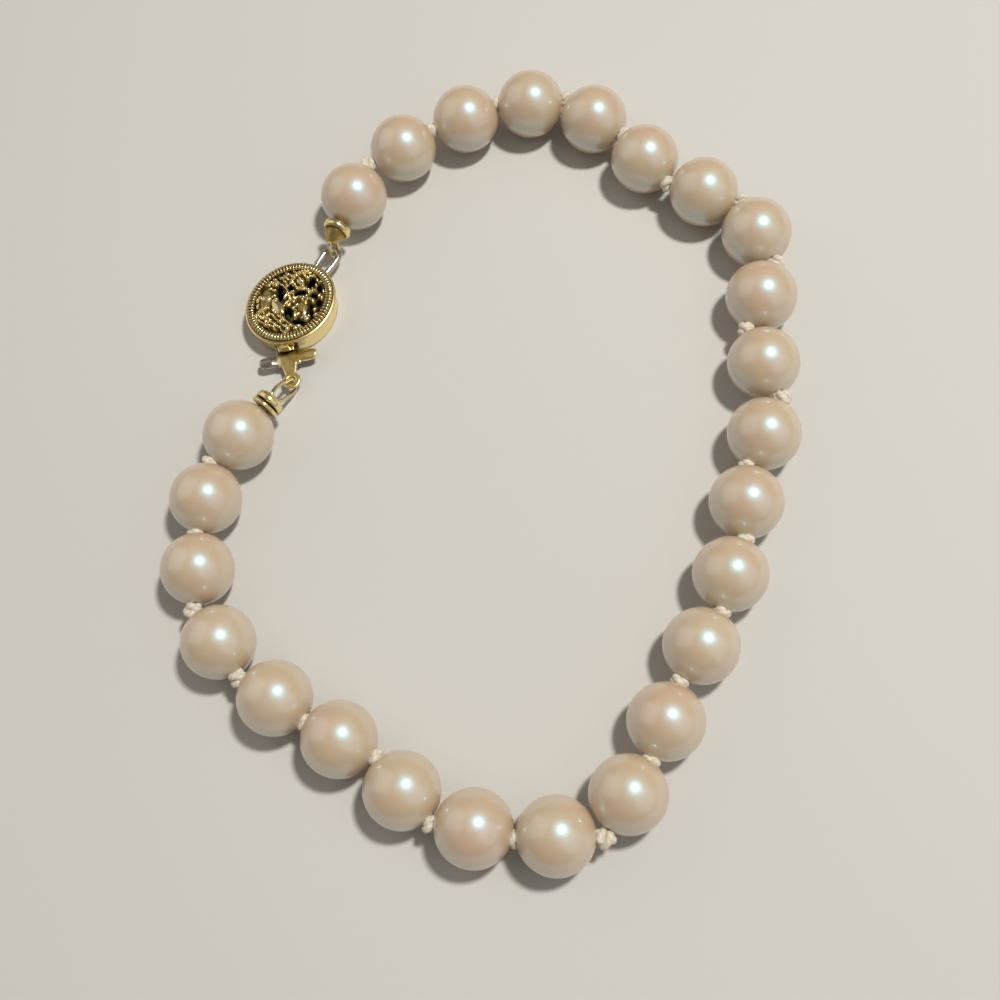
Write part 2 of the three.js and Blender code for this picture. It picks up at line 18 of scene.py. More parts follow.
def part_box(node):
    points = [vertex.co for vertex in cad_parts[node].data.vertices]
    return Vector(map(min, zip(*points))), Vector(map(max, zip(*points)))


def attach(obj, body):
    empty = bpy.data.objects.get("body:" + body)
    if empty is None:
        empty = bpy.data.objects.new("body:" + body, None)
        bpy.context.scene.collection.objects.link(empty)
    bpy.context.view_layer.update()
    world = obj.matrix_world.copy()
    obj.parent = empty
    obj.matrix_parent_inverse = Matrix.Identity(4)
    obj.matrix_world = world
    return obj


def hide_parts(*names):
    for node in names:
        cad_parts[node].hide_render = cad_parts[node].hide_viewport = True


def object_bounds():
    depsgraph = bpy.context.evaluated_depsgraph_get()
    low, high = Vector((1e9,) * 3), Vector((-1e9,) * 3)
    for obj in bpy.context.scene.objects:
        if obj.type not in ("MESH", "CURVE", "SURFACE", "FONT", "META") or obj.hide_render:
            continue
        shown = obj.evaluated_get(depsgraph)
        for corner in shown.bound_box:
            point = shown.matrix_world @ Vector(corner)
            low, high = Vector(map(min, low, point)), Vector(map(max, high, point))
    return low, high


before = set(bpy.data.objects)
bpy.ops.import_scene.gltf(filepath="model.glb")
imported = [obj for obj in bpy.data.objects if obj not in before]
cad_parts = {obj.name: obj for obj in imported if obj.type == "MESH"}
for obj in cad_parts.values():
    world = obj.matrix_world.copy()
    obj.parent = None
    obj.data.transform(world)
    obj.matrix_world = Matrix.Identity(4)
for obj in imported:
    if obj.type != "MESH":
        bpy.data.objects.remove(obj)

CAD_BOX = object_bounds()
MM = 0.001
BODY = "root"
PEARLS = sorted(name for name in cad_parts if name.startswith("pearl_"))
UP = np.array([0.0, 0.0, 1.0])
# Power below 1 that gives the oval of a bent wire its fuller corners.
FULLNESS = 0.7
# Rings of the small dome that closes each end of a tube.
DOME_RINGS = 4
# Function of points, given as arrays of their coordinates in mm.
PointFunction = Callable[..., np.ndarray]
log = logging.getLogger("bracelet")


class Slot(Enum):
    """Material slots of the record that a piece can take its finish from."""

    PEARL = "pearl"
    SILK = "silk"
    GOLD = "gold"


def linear(colour: str) -> tuple[float, float, float, float]:
    """Turns an sRGB hex colour into linear light.

    Args:
        colour: Six hex digits after a hash sign.

    Returns:
        Red, green, blue and an alpha of 1, each from 0 to 1.
    """
    parts = [int(colour[i : i + 2], 16) / 255 for i in (1, 3, 5)]
    bent = [c / 12.92 if c <= 0.04045 else ((c + 0.055) / 1.055) ** 2.4 for c in parts]
    return (*bent, 1.0)


def feed(tree: bpy.types.NodeTree, node: bpy.types.Node, inputs: dict) -> None:
    """Gives a node its inputs, by a link for an output socket and as a constant for any other value.

    Args:
        tree: Node tree of the material.
        node: The node.
        inputs: Input name or number to a value, or to the output socket that feeds it.
    """
    for key, value in inputs.items():
        if isinstance(value, bpy.types.NodeSocket):
            tree.links.new(value, node.inputs[key])
        else:
            node.inputs[key].default_value = value


def add(
    tree: bpy.types.NodeTree,
    kind: str,
    inputs: dict | None = None,
    stops: tuple[tuple[float, str], ...] = (),
    **settings: str | bool,
) -> bpy.types.Node:
    """Adds one node to a material, with its settings, its inputs and its colour stops.

    Args:
        tree: Node tree of the material.
        kind: Blender's type name of the node.
        inputs: Input name or number to a value, or to the output socket that feeds it.
        stops: Position and hex colour of each stop, in order, for a node that holds a ramp.
        **settings: Attributes of the node.

    Returns:
        The new node.
    """
    node = tree.nodes.new(kind)
    for name, value in settings.items():
        setattr(node, name, value)
    feed(tree, node, inputs or {})
    for _ in stops[2:]:
        node.color_ramp.elements.new(1.0)
    for number, (position, colour) in enumerate(stops):
        node.color_ramp.elements[number].position = position
        node.color_ramp.elements[number].color = linear(colour)
    return node


def new_material(name: str) -> tuple[bpy.types.Material, bpy.types.NodeTree, bpy.types.Node]:
    """Makes a material that holds only a Principled shader and its output.

    Args:
        name: Name of the material.

    Returns:
        The material, its node tree and its shader node.
    """
    material = bpy.data.materials.new(name)
    material.use_nodes = True
    tree = material.node_tree
    return material, tree, tree.nodes["Principled BSDF"]


@dataclass(frozen=True)
class Nacre:
    """Nacre of a cultured pearl, grown in thin layers and polished by nature.

    The layers give a soft glow under a clear skin: a wide milky halo round each light, a small sharp
    reflection on top of it, and a body of warm cream that turns rosy where the light is weak. Nacre's
    own index is 1.5 to 1.7, and the layers together send back more light than one surface of it, so
    the index is set higher.
    """

    cream: str = "#d6b893"
    rose: str = "#d8b494"
    pale: str = "#d9be9f"
    mottle_mm: float = 4.0
    skin_mm: float = 0.35
    halo: str = "#86e2ff"
    bloom: str = "#ffa680"

    def material(self) -> bpy.types.Material:
        """Builds the pearl material; the attribute tint shifts each pearl's own shade.

        Returns:
            The material.
        """
        material, tree, shader = new_material("cultured_pearl_nacre")
        place = add(tree, "ShaderNodeTexCoord").outputs["Object"]
        cloud = add(
            tree,
            "ShaderNodeTexNoise",
            {"Vector": place, "Scale": 1 / (self.mottle_mm * MM), "Detail": 2.0, "Roughness": 0.5},
        )
        tint = add(tree, "ShaderNodeAttribute", attribute_name="tint")
        mixed = add(
            tree,
            "ShaderNodeMath",
            {0: cloud.outputs["Fac"], 1: tint.outputs["Fac"]},
            operation="ADD",
        )
        colour = add(
            tree,
            "ShaderNodeValToRGB",
            {"Fac": mixed.outputs[0]},
            stops=((0.25, self.rose), (0.5, self.cream), (0.85, self.pale)),
        )
        skin = add(
            tree,
            "ShaderNodeTexNoise",
            {"Vector": place, "Scale": 1 / (self.skin_mm * MM), "Detail": 3.0, "Roughness": 0.6},
        )
        bump = add(
            tree,
            "ShaderNodeBump",
            {"Height": skin.outputs["Fac"], "Strength": 0.05, "Distance": 0.02 * MM},
        )
        layers = {
            "Base Color": colour.outputs["Color"],
            "Normal": bump.outputs["Normal"],
            "Roughness": 0.39,
            "Specular IOR Level": 1.0,
            "Specular Tint": linear(self.halo),
            "IOR": 1.9,
            "Subsurface Weight": 0.22,
            "Subsurface Radius": (1.0, 0.62, 0.45),
            "Subsurface Scale": 0.9 * MM,
            "Coat Weight": 1.0,
            "Coat Roughness": 0.15,
            "Coat IOR": 1.7,
            "Sheen Weight": 0.2,
            "Sheen Roughness": 0.35,
            "Sheen Tint": linear(self.bloom),
        }
        feed(tree, shader, layers)
        return material


@dataclass(frozen=True)
class TwistedSilk:
    """Ivory silk cord, twisted from fine filaments and pulled hard into knots.

    The twist gives slanting ridges along the strand with a soft sheen. Its colour paints shade into the
    grooves where the ridges meet and a faint highlight on their crests.
    """

    ivory: str = "#d6ccb8"
    # Painted shade of the grooves between the strands, and painted highlight of the crests.
    painted_shade: str = "#c2b59c"
    crest: str = "#dcd4c4"
    strands: int = 3
    turns_per_mm: float = 1.1

    def material(self) -> bpy.types.Material:
        """Builds the silk material; the UV map runs round the strand in u and along it, in mm, in v.

        Returns:
            The material.
        """
        material, tree, shader = new_material("twisted_silk")
        uv = add(tree, "ShaderNodeUVMap", uv_map="strand").outputs["UV"]
        split = add(tree, "ShaderNodeSeparateXYZ", {"Vector": uv})
        slant = add(
            tree,
            "ShaderNodeMath",
            {0: split.outputs["Y"], 1: self.turns_per_mm, 2: split.outputs["X"]},
            operation="MULTIPLY_ADD",
        )
        phase = add(
            tree,
            "ShaderNodeMath",
            {0: slant.outputs[0], 1: self.strands * math.pi},
            operation="MULTIPLY",
        )
        wave = add(tree, "ShaderNodeMath", {0: phase.outputs[0]}, operation="SINE")
        ridge = add(tree, "ShaderNodeMath", {0: wave.outputs[0]}, operation="ABSOLUTE")
        # Painted shade in the grooves and painted highlight on the crests, following the ridge.
        colour = add(
            tree,
            "ShaderNodeValToRGB",
            {"Fac": ridge.outputs[0]},
            stops=((0.0, self.painted_shade), (0.45, self.ivory), (1.0, self.crest)),
        )
        bump = add(
            tree,
            "ShaderNodeBump",
            {"Height": ridge.outputs[0], "Strength": 0.25, "Distance": 0.04 * MM},
        )
        soft = {
            "Base Color": colour.outputs["Color"],
            "Normal": bump.outputs["Normal"],
            "Roughness": 0.6,
            "Sheen Weight": 0.4,
            "Sheen Roughness": 0.4,
            "Subsurface Weight": 0.15,
            "Subsurface Scale": 0.2 * MM,
        }
        feed(tree, shader, soft)
        return material


@dataclass(frozen=True)
class AntiqueGold:
    """Gold plate over brass, worn bright on the high edges and darkened in the recesses.

    The high metal is smoother and throws small hard glints. Its colour is partly real and partly painted
    light: the dark brown of the recesses is tarnish and painted shade, and the pale gold of the high edges
    is rubbed metal and painted highlight.
    """

    # Pale gold of rubbed metal and painted highlight, and dark brown of tarnish and painted shade.
    bright: str = "#fbe8ac"
    worn: str = "#a88e4c"
    tarnish_and_painted_shade: str = "#2c220f"
    base_metal: str = "#bdb6ac"
    grain_mm: float = 0.5

    def material(self) -> bpy.types.Material:
        """Builds the gold material; polish, which also carries painted shade and highlight, is 0 in a recess
        and 1 on a high edge, wear is 1 on bare metal.

        Returns:
            The material.
        """
        material, tree, shader = new_material("antique_gold_plate")
        place = add(tree, "ShaderNodeTexCoord").outputs["Object"]
        cloud = add(
            tree,
            "ShaderNodeTexNoise",
            {"Vector": place, "Scale": 1 / (self.grain_mm * MM), "Detail": 4.0, "Roughness": 0.6},
        )
        polish_and_painted_light = add(tree, "ShaderNodeAttribute", attribute_name="polish_and_painted_light")
        shift = add(
            tree,
            "ShaderNodeMath",
            {0: cloud.outputs["Fac"], 1: 0.35, 2: -0.17},
            operation="MULTIPLY_ADD",
        )
        level = add(
            tree,
            "ShaderNodeMath",
            {0: polish_and_painted_light.outputs["Fac"], 1: shift.outputs[0]},
            operation="ADD",
            use_clamp=True,
        )
        # Ramp from tarnish and painted shade in the recesses to rubbed gold and painted highlight on the
        # crests.
        colour = add(
            tree,
            "ShaderNodeValToRGB",
            {"Fac": level.outputs[0]},
            stops=((0.06, self.tarnish_and_painted_shade), (0.36, self.worn), (0.7, self.bright)),
        )
        wear = add(tree, "ShaderNodeAttribute", attribute_name="wear")
        plated = add(
            tree,
            "ShaderNodeMix",
            {"Factor": wear.outputs["Fac"], 6: colour.outputs["Color"], 7: linear(self.base_metal)},
            data_type="RGBA",
        )
        rough = add(
            tree,
            "ShaderNodeMapRange",
            {"Value": level.outputs[0], "To Min": 0.5, "To Max": 0.2},
        )
        bump = add(
            tree,
            "ShaderNodeBump",
            {"Height": cloud.outputs["Fac"], "Strength": 0.12, "Distance": 0.03 * MM},
        )
        metal = {
            "Base Color": plated.outputs[2],
            "Roughness": rough.outputs["Result"],
            "Normal": bump.outputs["Normal"],
            "Metallic": 1.0,
        }
        feed(tree, shader, metal)
        return material


@dataclass(frozen=True)
class PaleCard:
    """Matt card of the studio floor: plain, pale and without shine."""

    tone: str = "#ccc9c3"

    def material(self) -> bpy.types.Material:
        """Builds the floor material.

        Returns:
            The material.
        """
        material, tree, shader = new_material("pale_card")
        feed(tree, shader, {"Base Color": linear(self.tone), "Roughness": 0.9})
        return material


@dataclass
class Place:
    """Where a piece's own axes stand in the row frame, in millimetres."""

    origin: np.ndarray = field(default_factory=lambda: np.zeros(3))
    axes: np.ndarray = field(default_factory=lambda: np.eye(3))

    @classmethod
    def flat(cls, origin: np.ndarray, heading: float) -> "Place":
        """A place whose first axis is level and points along heading, in degrees, with Z up.

        Args:
            origin: Its origin in the row frame, in mm.
            heading: Direction of its first axis, seen from above.

        Returns:
            The place.
        """
        c, s = math.cos(math.radians(heading)), math.sin(math.radians(heading))
        return cls(np.array(origin, float), np.array([[c, s, 0], [-s, c, 0], [0, 0, 1]], float))

    def world(self, points: np.ndarray) -> np.ndarray:
        """Carries points from the piece's own axes into the row frame."""
        return self.origin + points @ self.axes


@dataclass
class Surface:
    """Points, quads and per-point values that grow into one mesh.

    Points are in millimetres, in the piece's own axes, which place carries into the row frame.
    """

    name: str
    place: Place = field(default_factory=Place)
    points: list[np.ndarray] = field(default_factory=list)
    faces: list[np.ndarray] = field(default_factory=list)
    values: list[np.ndarray] = field(default_factory=list)
    uvs: list[np.ndarray] = field(default_factory=list)
    count: int = 0

    def grid(
        self,
        points: np.ndarray,
        value: np.ndarray | float = 1.0,
        wear: np.ndarray | float = 0.0,
        uv: np.ndarray | None = None,
        wrap_rows: bool = False,
        wrap_columns: bool = False,
        keep: np.ndarray | None = None,
        flip: bool = False,
    ) -> None:
        """Adds a grid of points joined by quads: corner (i, j), (i, j+1), (i+1, j+1), (i+1, j).

        Args:
            points: Array of rows by columns by 3, in millimetres.
            value: One number for each point, or one for all.
            wear: The same, for how far the plating is worn through.
            uv: Array of rows by columns by 2, or None for zeros.
            wrap_rows: Whether the last row joins the first.
            wrap_columns: Whether the last column joins the first.
            keep: Which quads are made, or None for all.
            flip: Whether the quads turn the other way.
        """
        rows, columns = points.shape[:2]
        index = np.arange(rows * columns).reshape(rows, columns) + self.count
        i = np.arange(rows if wrap_rows else rows - 1)
        j = np.arange(columns if wrap_columns else columns - 1)
        a = index[np.ix_(i, j)]
        b = index[np.ix_(i, (j + 1) % columns)]
        c = index[np.ix_((i + 1) % rows, (j + 1) % columns)]
        d = index[np.ix_((i + 1) % rows, j)]
        quads = np.stack([a, d, c, b] if flip else [a, b, c, d], axis=-1)
        quads = quads.reshape(-1, 4) if keep is None else quads[keep]
        self.points.append(self.place.world(points.reshape(-1, 3)))
        self.faces.append(quads)
        flat = [np.broadcast_to(channel, (rows, columns)).reshape(-1) for channel in (value, wear)]
        self.values.append(np.stack(flat, axis=-1))
        self.uvs.append(np.zeros((rows * columns, 2)) if uv is None else uv.reshape(-1, 2))
        self.count += rows * columns

    def build(self, attributes: tuple[str, ...] = (), uv_name: str = "") -> bpy.types.Object:
        """Makes the mesh object, smooth shaded, with its values as point attributes and its UV map.

        Args:
            attributes: Names of the point attributes that hold the values and the wear.
            uv_name: Name of the UV map.

        Returns:
            The new object, linked to the scene, at the origin.
        """
        points = np.concatenate(self.points)
        faces = np.concatenate(self.faces)
        used, faces = np.unique(faces, return_inverse=True)
        faces = faces.reshape(-1, 4).astype(np.int32)
        points = (points[used] * MM).astype(np.float32)
        mesh = bpy.data.meshes.new(self.name)
        mesh.vertices.add(len(points))
        mesh.vertices.foreach_set("co", points.ravel())
        mesh.loops.add(faces.size)
        mesh.loops.foreach_set("vertex_index", faces.ravel())
        mesh.polygons.add(len(faces))
        mesh.polygons.foreach_set("loop_start", np.arange(0, faces.size, 4, dtype=np.int32))
        mesh.polygons.foreach_set("use_smooth", np.ones(len(faces), bool))
        mesh.update(calc_edges=True)
        values = np.concatenate(self.values)[used]
        for channel, attribute in enumerate(attributes):
            layer = mesh.attributes.new(attribute, "FLOAT", "POINT")
            layer.data.foreach_set("value", values[:, channel].astype(np.float32))
        if uv_name:
            layer = mesh.uv_layers.new(name=uv_name)
            uvs = np.concatenate(self.uvs)[used][faces.ravel()]
            layer.data.foreach_set("uv", uvs.astype(np.float32).ravel())
        mesh.validate()
        piece = bpy.data.objects.new(self.name, mesh)
        bpy.context.scene.collection.objects.link(piece)
        return piece


def finish_piece(piece: bpy.types.Object, material: bpy.types.Material, slot: Slot, *nodes: str) -> None:
    """Gives a piece its material and its body, and hides the CAD nodes that it stands for.

    Args:
        piece: The new object.
        material: Its finish.
        slot: The record's slot of that finish; not used.
        *nodes: Names of the CAD nodes that it replaces.
    """
    piece.data.materials.append(material)
    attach(piece, BODY)
    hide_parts(*nodes)


def node_points(node: str) -> np.ndarray:
    """Reads the vertices of a CAD node.

    Args:
        node: Its name.

    Returns:
        One row for each vertex, in mm.
    """
    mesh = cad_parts[node].data
    points = np.empty(len(mesh.vertices) * 3)
    mesh.vertices.foreach_get("co", points)
    return points.reshape(-1, 3) / MM


def node_centre(node: str) -> np.ndarray:
    """Middle of a CAD node's box, in mm."""
    low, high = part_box(node)
    return (np.array(low) + np.array(high)) / 2 / MM


def hole_axis(node: str) -> np.ndarray:
    """Direction of a pearl's drilled hole.

    A drilled bead is alike all round its hole, so of the three spreads of its vertices two are equal,
    and the third belongs to the hole.

    Args:
        node: Name of the pearl's node.

    Returns:
        A level unit vector.
    """
    points = node_points(node) - node_centre(node)
    spread, directions = np.linalg.eigh(points.T @ points)
    odd = 0 if spread[1] - spread[0] > spread[2] - spread[1] else 2
    axis = directions[:, odd] * np.array([1, 1, 0])
    return axis / np.linalg.norm(axis)


@dataclass
class String:
    """The pearls' centres, the directions of their holes and their radius, in mm."""

    centres: np.ndarray
    axes: np.ndarray
    radius: float

    @classmethod
    def from_frame(cls) -> "String":
        """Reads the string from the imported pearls; each direction points on to the next pearl.

        Returns:
            The string.
        """
        centres = np.array([node_centre(node) for node in PEARLS])
        axes = np.array([hole_axis(node) for node in PEARLS])
        onward = np.diff(centres, axis=0)
        onward = np.vstack([onward, onward[-1]])
        axes *= np.sign((axes * onward).sum(axis=1))[:, None]
        low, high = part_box(PEARLS[0])
        return cls(centres, axes, (high.z - low.z) / 2 / MM)

    def mouths(self) -> tuple[np.ndarray, np.ndarray]:
        """Where each silk run leaves one pearl and enters the next."""
        reach = self.axes * self.radius
        return (self.centres + reach)[:-1], (self.centres - reach)[1:]


@dataclass
class Pearls:
    """The round drilled pearls."""

    string: String
    drill: float = 0.8
    lip: float = 0.12
    rows: int = 56
    sides: int = 72
    off_round: float = 0.004
    tint_spread: float = 0.08
    seed: int = 7

    def profile(self) -> np.ndarray:
        """Half section of a drilled ball, as distance from the axis and place along it.

        The outside is an arc of the ball's circle, and each mouth turns into the bore by a short lip.

        Returns:
            One row for each point, in mm.
        """
        radius = self.string.radius
        bore = self.drill / 2
        edge = math.asin((bore + self.lip) / radius)
        angle = np.linspace(edge, math.pi - edge, self.rows)
        outside = np.stack([radius * np.sin(angle), -radius * np.cos(angle)], axis=1)
        turn = np.linspace(0.15, 1, 4) * math.pi / 2
        lip_in = bore + self.lip * (1 - np.sin(turn))
        lip_deep = radius * math.cos(edge) - self.lip * (1 - np.cos(turn))
        far = np.stack([lip_in, lip_deep], axis=1)
        near = far[::-1] * np.array([1, -1])
        return np.concatenate([near, outside, far])

    def ball(self, index: int, rng: np.random.Generator) -> bpy.types.Object:
        """Builds one pearl: its profile turned round its hole, swelled by a few slow waves.

        Args:
            index: Which pearl.
            rng: Seeded source of the waves and the tint.

        Returns:
            The new object.
        """
        profile = self.profile()
        around = np.linspace(0, 2 * math.pi, self.sides, endpoint=False)
        axis = self.string.axes[index]
        side = np.cross(UP, axis)
        across = np.cos(around)[:, None] * UP + np.sin(around)[:, None] * side
        shape = profile[:, 0, None, None] * across[None] + profile[:, 1, None, None] * axis
        waves = rng.normal(size=(3, 3)) / self.string.radius
        phase = rng.uniform(0, 2 * math.pi, 3)
        swell = np.sin(shape @ waves.T + phase).mean(axis=-1)
        shape = shape * (1 - self.off_round * (0.5 + 0.5 * swell[..., None]))
        surface = Surface(PEARLS[index].replace("pearl", "nacre"))
        tint = rng.uniform(-self.tint_spread, self.tint_spread)
        surface.grid(self.string.centres[index] + shape, tint, wrap_rows=True, wrap_columns=True)
        return surface.build(attributes=("tint",))

    def build(self, material: bpy.types.Material) -> list[bpy.types.Object]:
        """Builds and dresses all pearls.

        Args:
            material: The nacre.

        Returns:
            The new objects.
        """
        rng = np.random.default_rng(self.seed)
        pieces = []
        for index, node in enumerate(PEARLS):
            piece = self.ball(index, rng)
            finish_piece(piece, material, Slot.PEARL, node)
            pieces.append(piece)
        return pieces


def tube(
    surface: Surface,
    path: np.ndarray,
    radius: np.ndarray | float,
    sides: int,
    closed: bool,
    value: float = 0.8,
    wear: float = 0.0,
    press: PointFunction | None = None,
) -> None:
    """Carries a circle along a path and adds it to a surface.

    Each ring is the path's point plus radius times (cos a of one normal plus sin a of the other); the
    normals are carried from ring to ring by the least turn. Open ends close in a small dome.

    Args:
        surface: Surface that takes the tube.
        path: Points in mm.
        radius: Radius in mm, one number or one for each point.
        sides: Sides of the circle.
        closed: Whether the path is a loop.
        value: Polish of the tube.
        wear: Wear of the tube.
        press: Function that moves the finished points, or None.
    """
    ahead = np.roll(path, -1, axis=0) - np.roll(path, 1, axis=0)
    if not closed:
        ahead[0] = path[1] - path[0]
        ahead[-1] = path[-1] - path[-2]
    tangent = ahead / np.linalg.norm(ahead, axis=1)[:, None]
    first = np.cross(tangent[0], UP if abs(tangent[0] @ UP) < 0.9 else np.array([1.0, 0, 0]))
    normals = [first / np.linalg.norm(first)]
    for direction in tangent[1:]:
        carried = normals[-1] - direction * (normals[-1] @ direction)
        normals.append(carried / np.linalg.norm(carried))
    normal = np.array(normals)
    angle = np.linspace(0, 2 * math.pi, sides, endpoint=False)
    if closed:
        last = normal[-1] - tangent[0] * (normal[-1] @ tangent[0])
        other = np.cross(tangent[0], normal[0])
        twist = math.atan2(last @ other, last @ normal[0])
        share = np.linspace(0, 1, len(path), endpoint=False)
        angle = angle[None, :] - (twist * share)[:, None]
    else:
        angle = np.repeat(angle[None, :], len(path), axis=0)
    binormal = np.cross(tangent, normal)
    radius = np.broadcast_to(radius, len(path))[:, None, None]
    ring = np.cos(angle)[..., None] * normal[:, None] + np.sin(angle)[..., None] * binormal[:, None]
    points = path[:, None] + radius * ring
    length = np.concatenate([[0], np.cumsum(np.linalg.norm(np.diff(path, axis=0), axis=1))])
    uv = np.stack(np.broadcast_arrays(np.arange(sides)[None, :] / sides, length[:, None]), axis=-1)
    if not closed:
        points, uv = dome_ends(points, path, tangent, radius, uv)
    if press:
        points = press(points)
    surface.grid(points, value, wear, uv, wrap_rows=closed, wrap_columns=True)


def fuller(part: np.ndarray) -> np.ndarray:
    """Sine or cosine raised to a power below 1, its sign kept: gives an oval fuller corners."""
    return np.sign(part) * np.abs(part) ** FULLNESS


def dome_ends(
    points: np.ndarray,
    path: np.ndarray,
    tangent: np.ndarray,
    radius: np.ndarray,
    uv: np.ndarray,
) -> tuple[np.ndarray, np.ndarray]:
    """Closes the two ends of a tube: each end ring shrinks to a point along a quarter circle.

    Args:
        points: Rings of the tube.
        path: Middle of each ring.
        tangent: Direction of the path at each ring.
        radius: Radius of each ring.
        uv: UV of each point.

    Returns:
        The rings and UVs with the domes added.
    """
    turn = np.linspace(0, math.pi / 2, DOME_RINGS + 1)[1:, None, None]
    shrink = np.maximum(np.cos(turn), 0.002)
    start = path[0] + (points[0] - path[0]) * shrink - tangent[0] * radius[0] * np.sin(turn)
    end = path[-1] + (points[-1] - path[-1]) * shrink + tangent[-1] * radius[-1] * np.sin(turn)
    rings = np.concatenate([start[::-1], points, end])
    uvs = np.concatenate([np.repeat(uv[:1], DOME_RINGS, axis=0), uv, np.repeat(uv[-1:], DOME_RINGS, axis=0)])
    return rings, uvs


@dataclass
class Silk:
    """The silk: a straight run from hole to hole and an overhand knot after each pearl."""

    string: String
    strand: float = 0.62
    knot_width: float = 1.55
    knot_lean: float = 0.22
    knot_bulge: float = 0.55
    bend_share: float = 0.25
    ring_share: float = 0.66
    least_height: float = 0.11
    sink: float = 0.2
    knot_steps: int = 96
    run_steps: int = 12
    sides: int = 10
    in_cup: float = 0.9
    seed: int = 11

    def squeezed(self, points: np.ndarray, pair: np.ndarray) -> np.ndarray:
        """Moves the points that fall inside one of two pearls straight out on to its skin.

        Args:
            points: Points of the knot, in mm.
            pair: Centres of the two pearls beside it.

        Returns:
            The points, pressed against the pearls.
        """
        skin = self.string.radius - self.sink
        for centre in pair:
            away = points - centre
            far = np.linalg.norm(away, axis=-1, keepdims=True)
            points = centre + away * np.maximum(skin / np.maximum(far, 1e-6), 1.0)
        return points

    def knot(
        self,
        surface: Surface,
        middle: np.ndarray,
        axis: np.ndarray,
        room: float,
        turn: float,
        pair: np.ndarray,
    ) -> None:
        """Adds one pulled-tight overhand knot, pressed between its two pearls.

        The path winds round the axis twice while it crosses itself three times: at angle a it stands
        at 2a round the axis, at a distance of ring plus depth times cos 3a, and at height depth times
        sin 3a along the axis.

        Args:
            surface: Surface that takes the knot.
            middle: Centre of the knot, in mm.
            axis: Direction of the string there.
            room: Thickness that the knot may fill along the string, in mm.
            turn: How far the knot is turned about the string, in radians.
            pair: Centres of the two pearls beside it.
        """
        reach = (self.knot_width - self.strand) / 2
        ring, depth = reach * self.ring_share, reach * (1 - self.ring_share)
        a = np.linspace(0, 2 * math.pi, self.knot_steps, endpoint=False)
        distance = ring + depth * np.cos(3 * a)
        height = np.sin(3 * a) * max(room / 2 - self.strand / 2, self.least_height)
        side = np.cross(UP, axis)
        around = 2 * a + turn
        path = distance[:, None] * (np.cos(around)[:, None] * UP + np.sin(around)[:, None] * side)
        path = path + height[:, None] * axis
        press = partial(self.squeezed, pair=pair)
        tube(surface, middle + path, self.strand / 2, self.sides, closed=True, press=press)

    def build(self, material: bpy.types.Material) -> bpy.types.Object:
        """Builds and dresses the silk.

        Args:
            material: The silk finish.

        Returns:
            The new object.
        """
        rng = np.random.default_rng(self.seed)
        surface = Surface("knotted_silk")
        leave, enter = self.string.mouths()
        beyond = self.string.radius + self.in_cup
        runs = [self.string.centres[0] - self.string.axes[0] * beyond]
        runs += list((leave + enter) / 2)
        runs.append(self.string.centres[-1] + self.string.axes[-1] * beyond)
        for start, end in zip(runs, runs[1:]):
            path = np.linspace(start, end, self.run_steps)
            tube(surface, path, self.strand / 2, self.sides, closed=False)
        for index, middle in enumerate((leave + enter) / 2):
            axis = self.string.axes[index] + self.string.axes[index + 1]
            axis /= np.linalg.norm(axis)
            gap = np.linalg.norm(leave[index] - enter[index])
            out = self.open_side(index) * (gap * self.bend_share + self.knot_lean)
            pair = self.string.centres[index : index + 2]
            turn = rng.uniform(0, 2 * math.pi)
            self.knot(surface, middle + out, axis, gap + self.knot_bulge, turn, pair)
        piece = surface.build(uv_name="strand")
        finish_piece(piece, material, Slot.SILK, "silk_thread")
        return piece

    def open_side(self, index: int) -> np.ndarray:
        """Direction in which the wedge between two pearls opens."""
        bend = self.string.axes[index] - self.string.axes[index + 1]
        return bend / max(np.linalg.norm(bend), 1e-9)


def true_distance(share: PointFunction, u: np.ndarray, v: np.ndarray) -> np.ndarray:
    """Distance to the line where a share reaches 1, negative inside: the share's excess over its slope.

    Args:
        share: Function of u and v that grows outwards and is 1 on the line.
        u: First coordinate of each point, in mm.
        v: Second coordinate.

    Returns:
        The distance in mm, true near the line.
    """
    step = 0.001
    here = share(u, v)
    slope = np.hypot(share(u + step, v) - here, share(u, v + step) - here) / step
    return (here - 1) / np.maximum(slope, 1e-3)


def turned_to(
    u: np.ndarray,
    v: np.ndarray,
    centre: tuple[float, float],
    slant: float,
) -> tuple[np.ndarray, np.ndarray]:
    """Coordinates along and across a slanting axis: the turned distances from a centre.

    Args:
        u: First coordinate of each point, in mm.
        v: Second coordinate.
        centre: Point that the axis runs through.
        slant: How far the axis leans, in degrees.

    Returns:
        The coordinate along the axis and the one across it.
    """
    c, s = math.cos(math.radians(slant)), math.sin(math.radians(slant))
    x, y = u - centre[0], v - centre[1]
    return x * c + y * s, y * c - x * s


@dataclass(frozen=True)
class Slit:
    """Opening cut through a sheet: a long oval."""

    centre: tuple[float, float]
    long: float
    wide: float
    slant: float

    def distance(self, u: np.ndarray, v: np.ndarray) -> np.ndarray:
        """Distance to the opening's edge, negative inside it: an oval's, scaled by its own slope.

        Args:
            u: First coordinate of each point, in mm.
            v: Second coordinate.

        Returns:
            The distance in mm.
        """
        x, y = turned_to(u, v, self.centre, self.slant)
        a, b = self.long / 2, self.wide / 2
        share = np.hypot(x / a, y / b)
        slope = np.hypot(x / a**2, y / b**2) / np.maximum(share, 1e-6)
        return (share - 1) / np.maximum(slope, 1e-6)


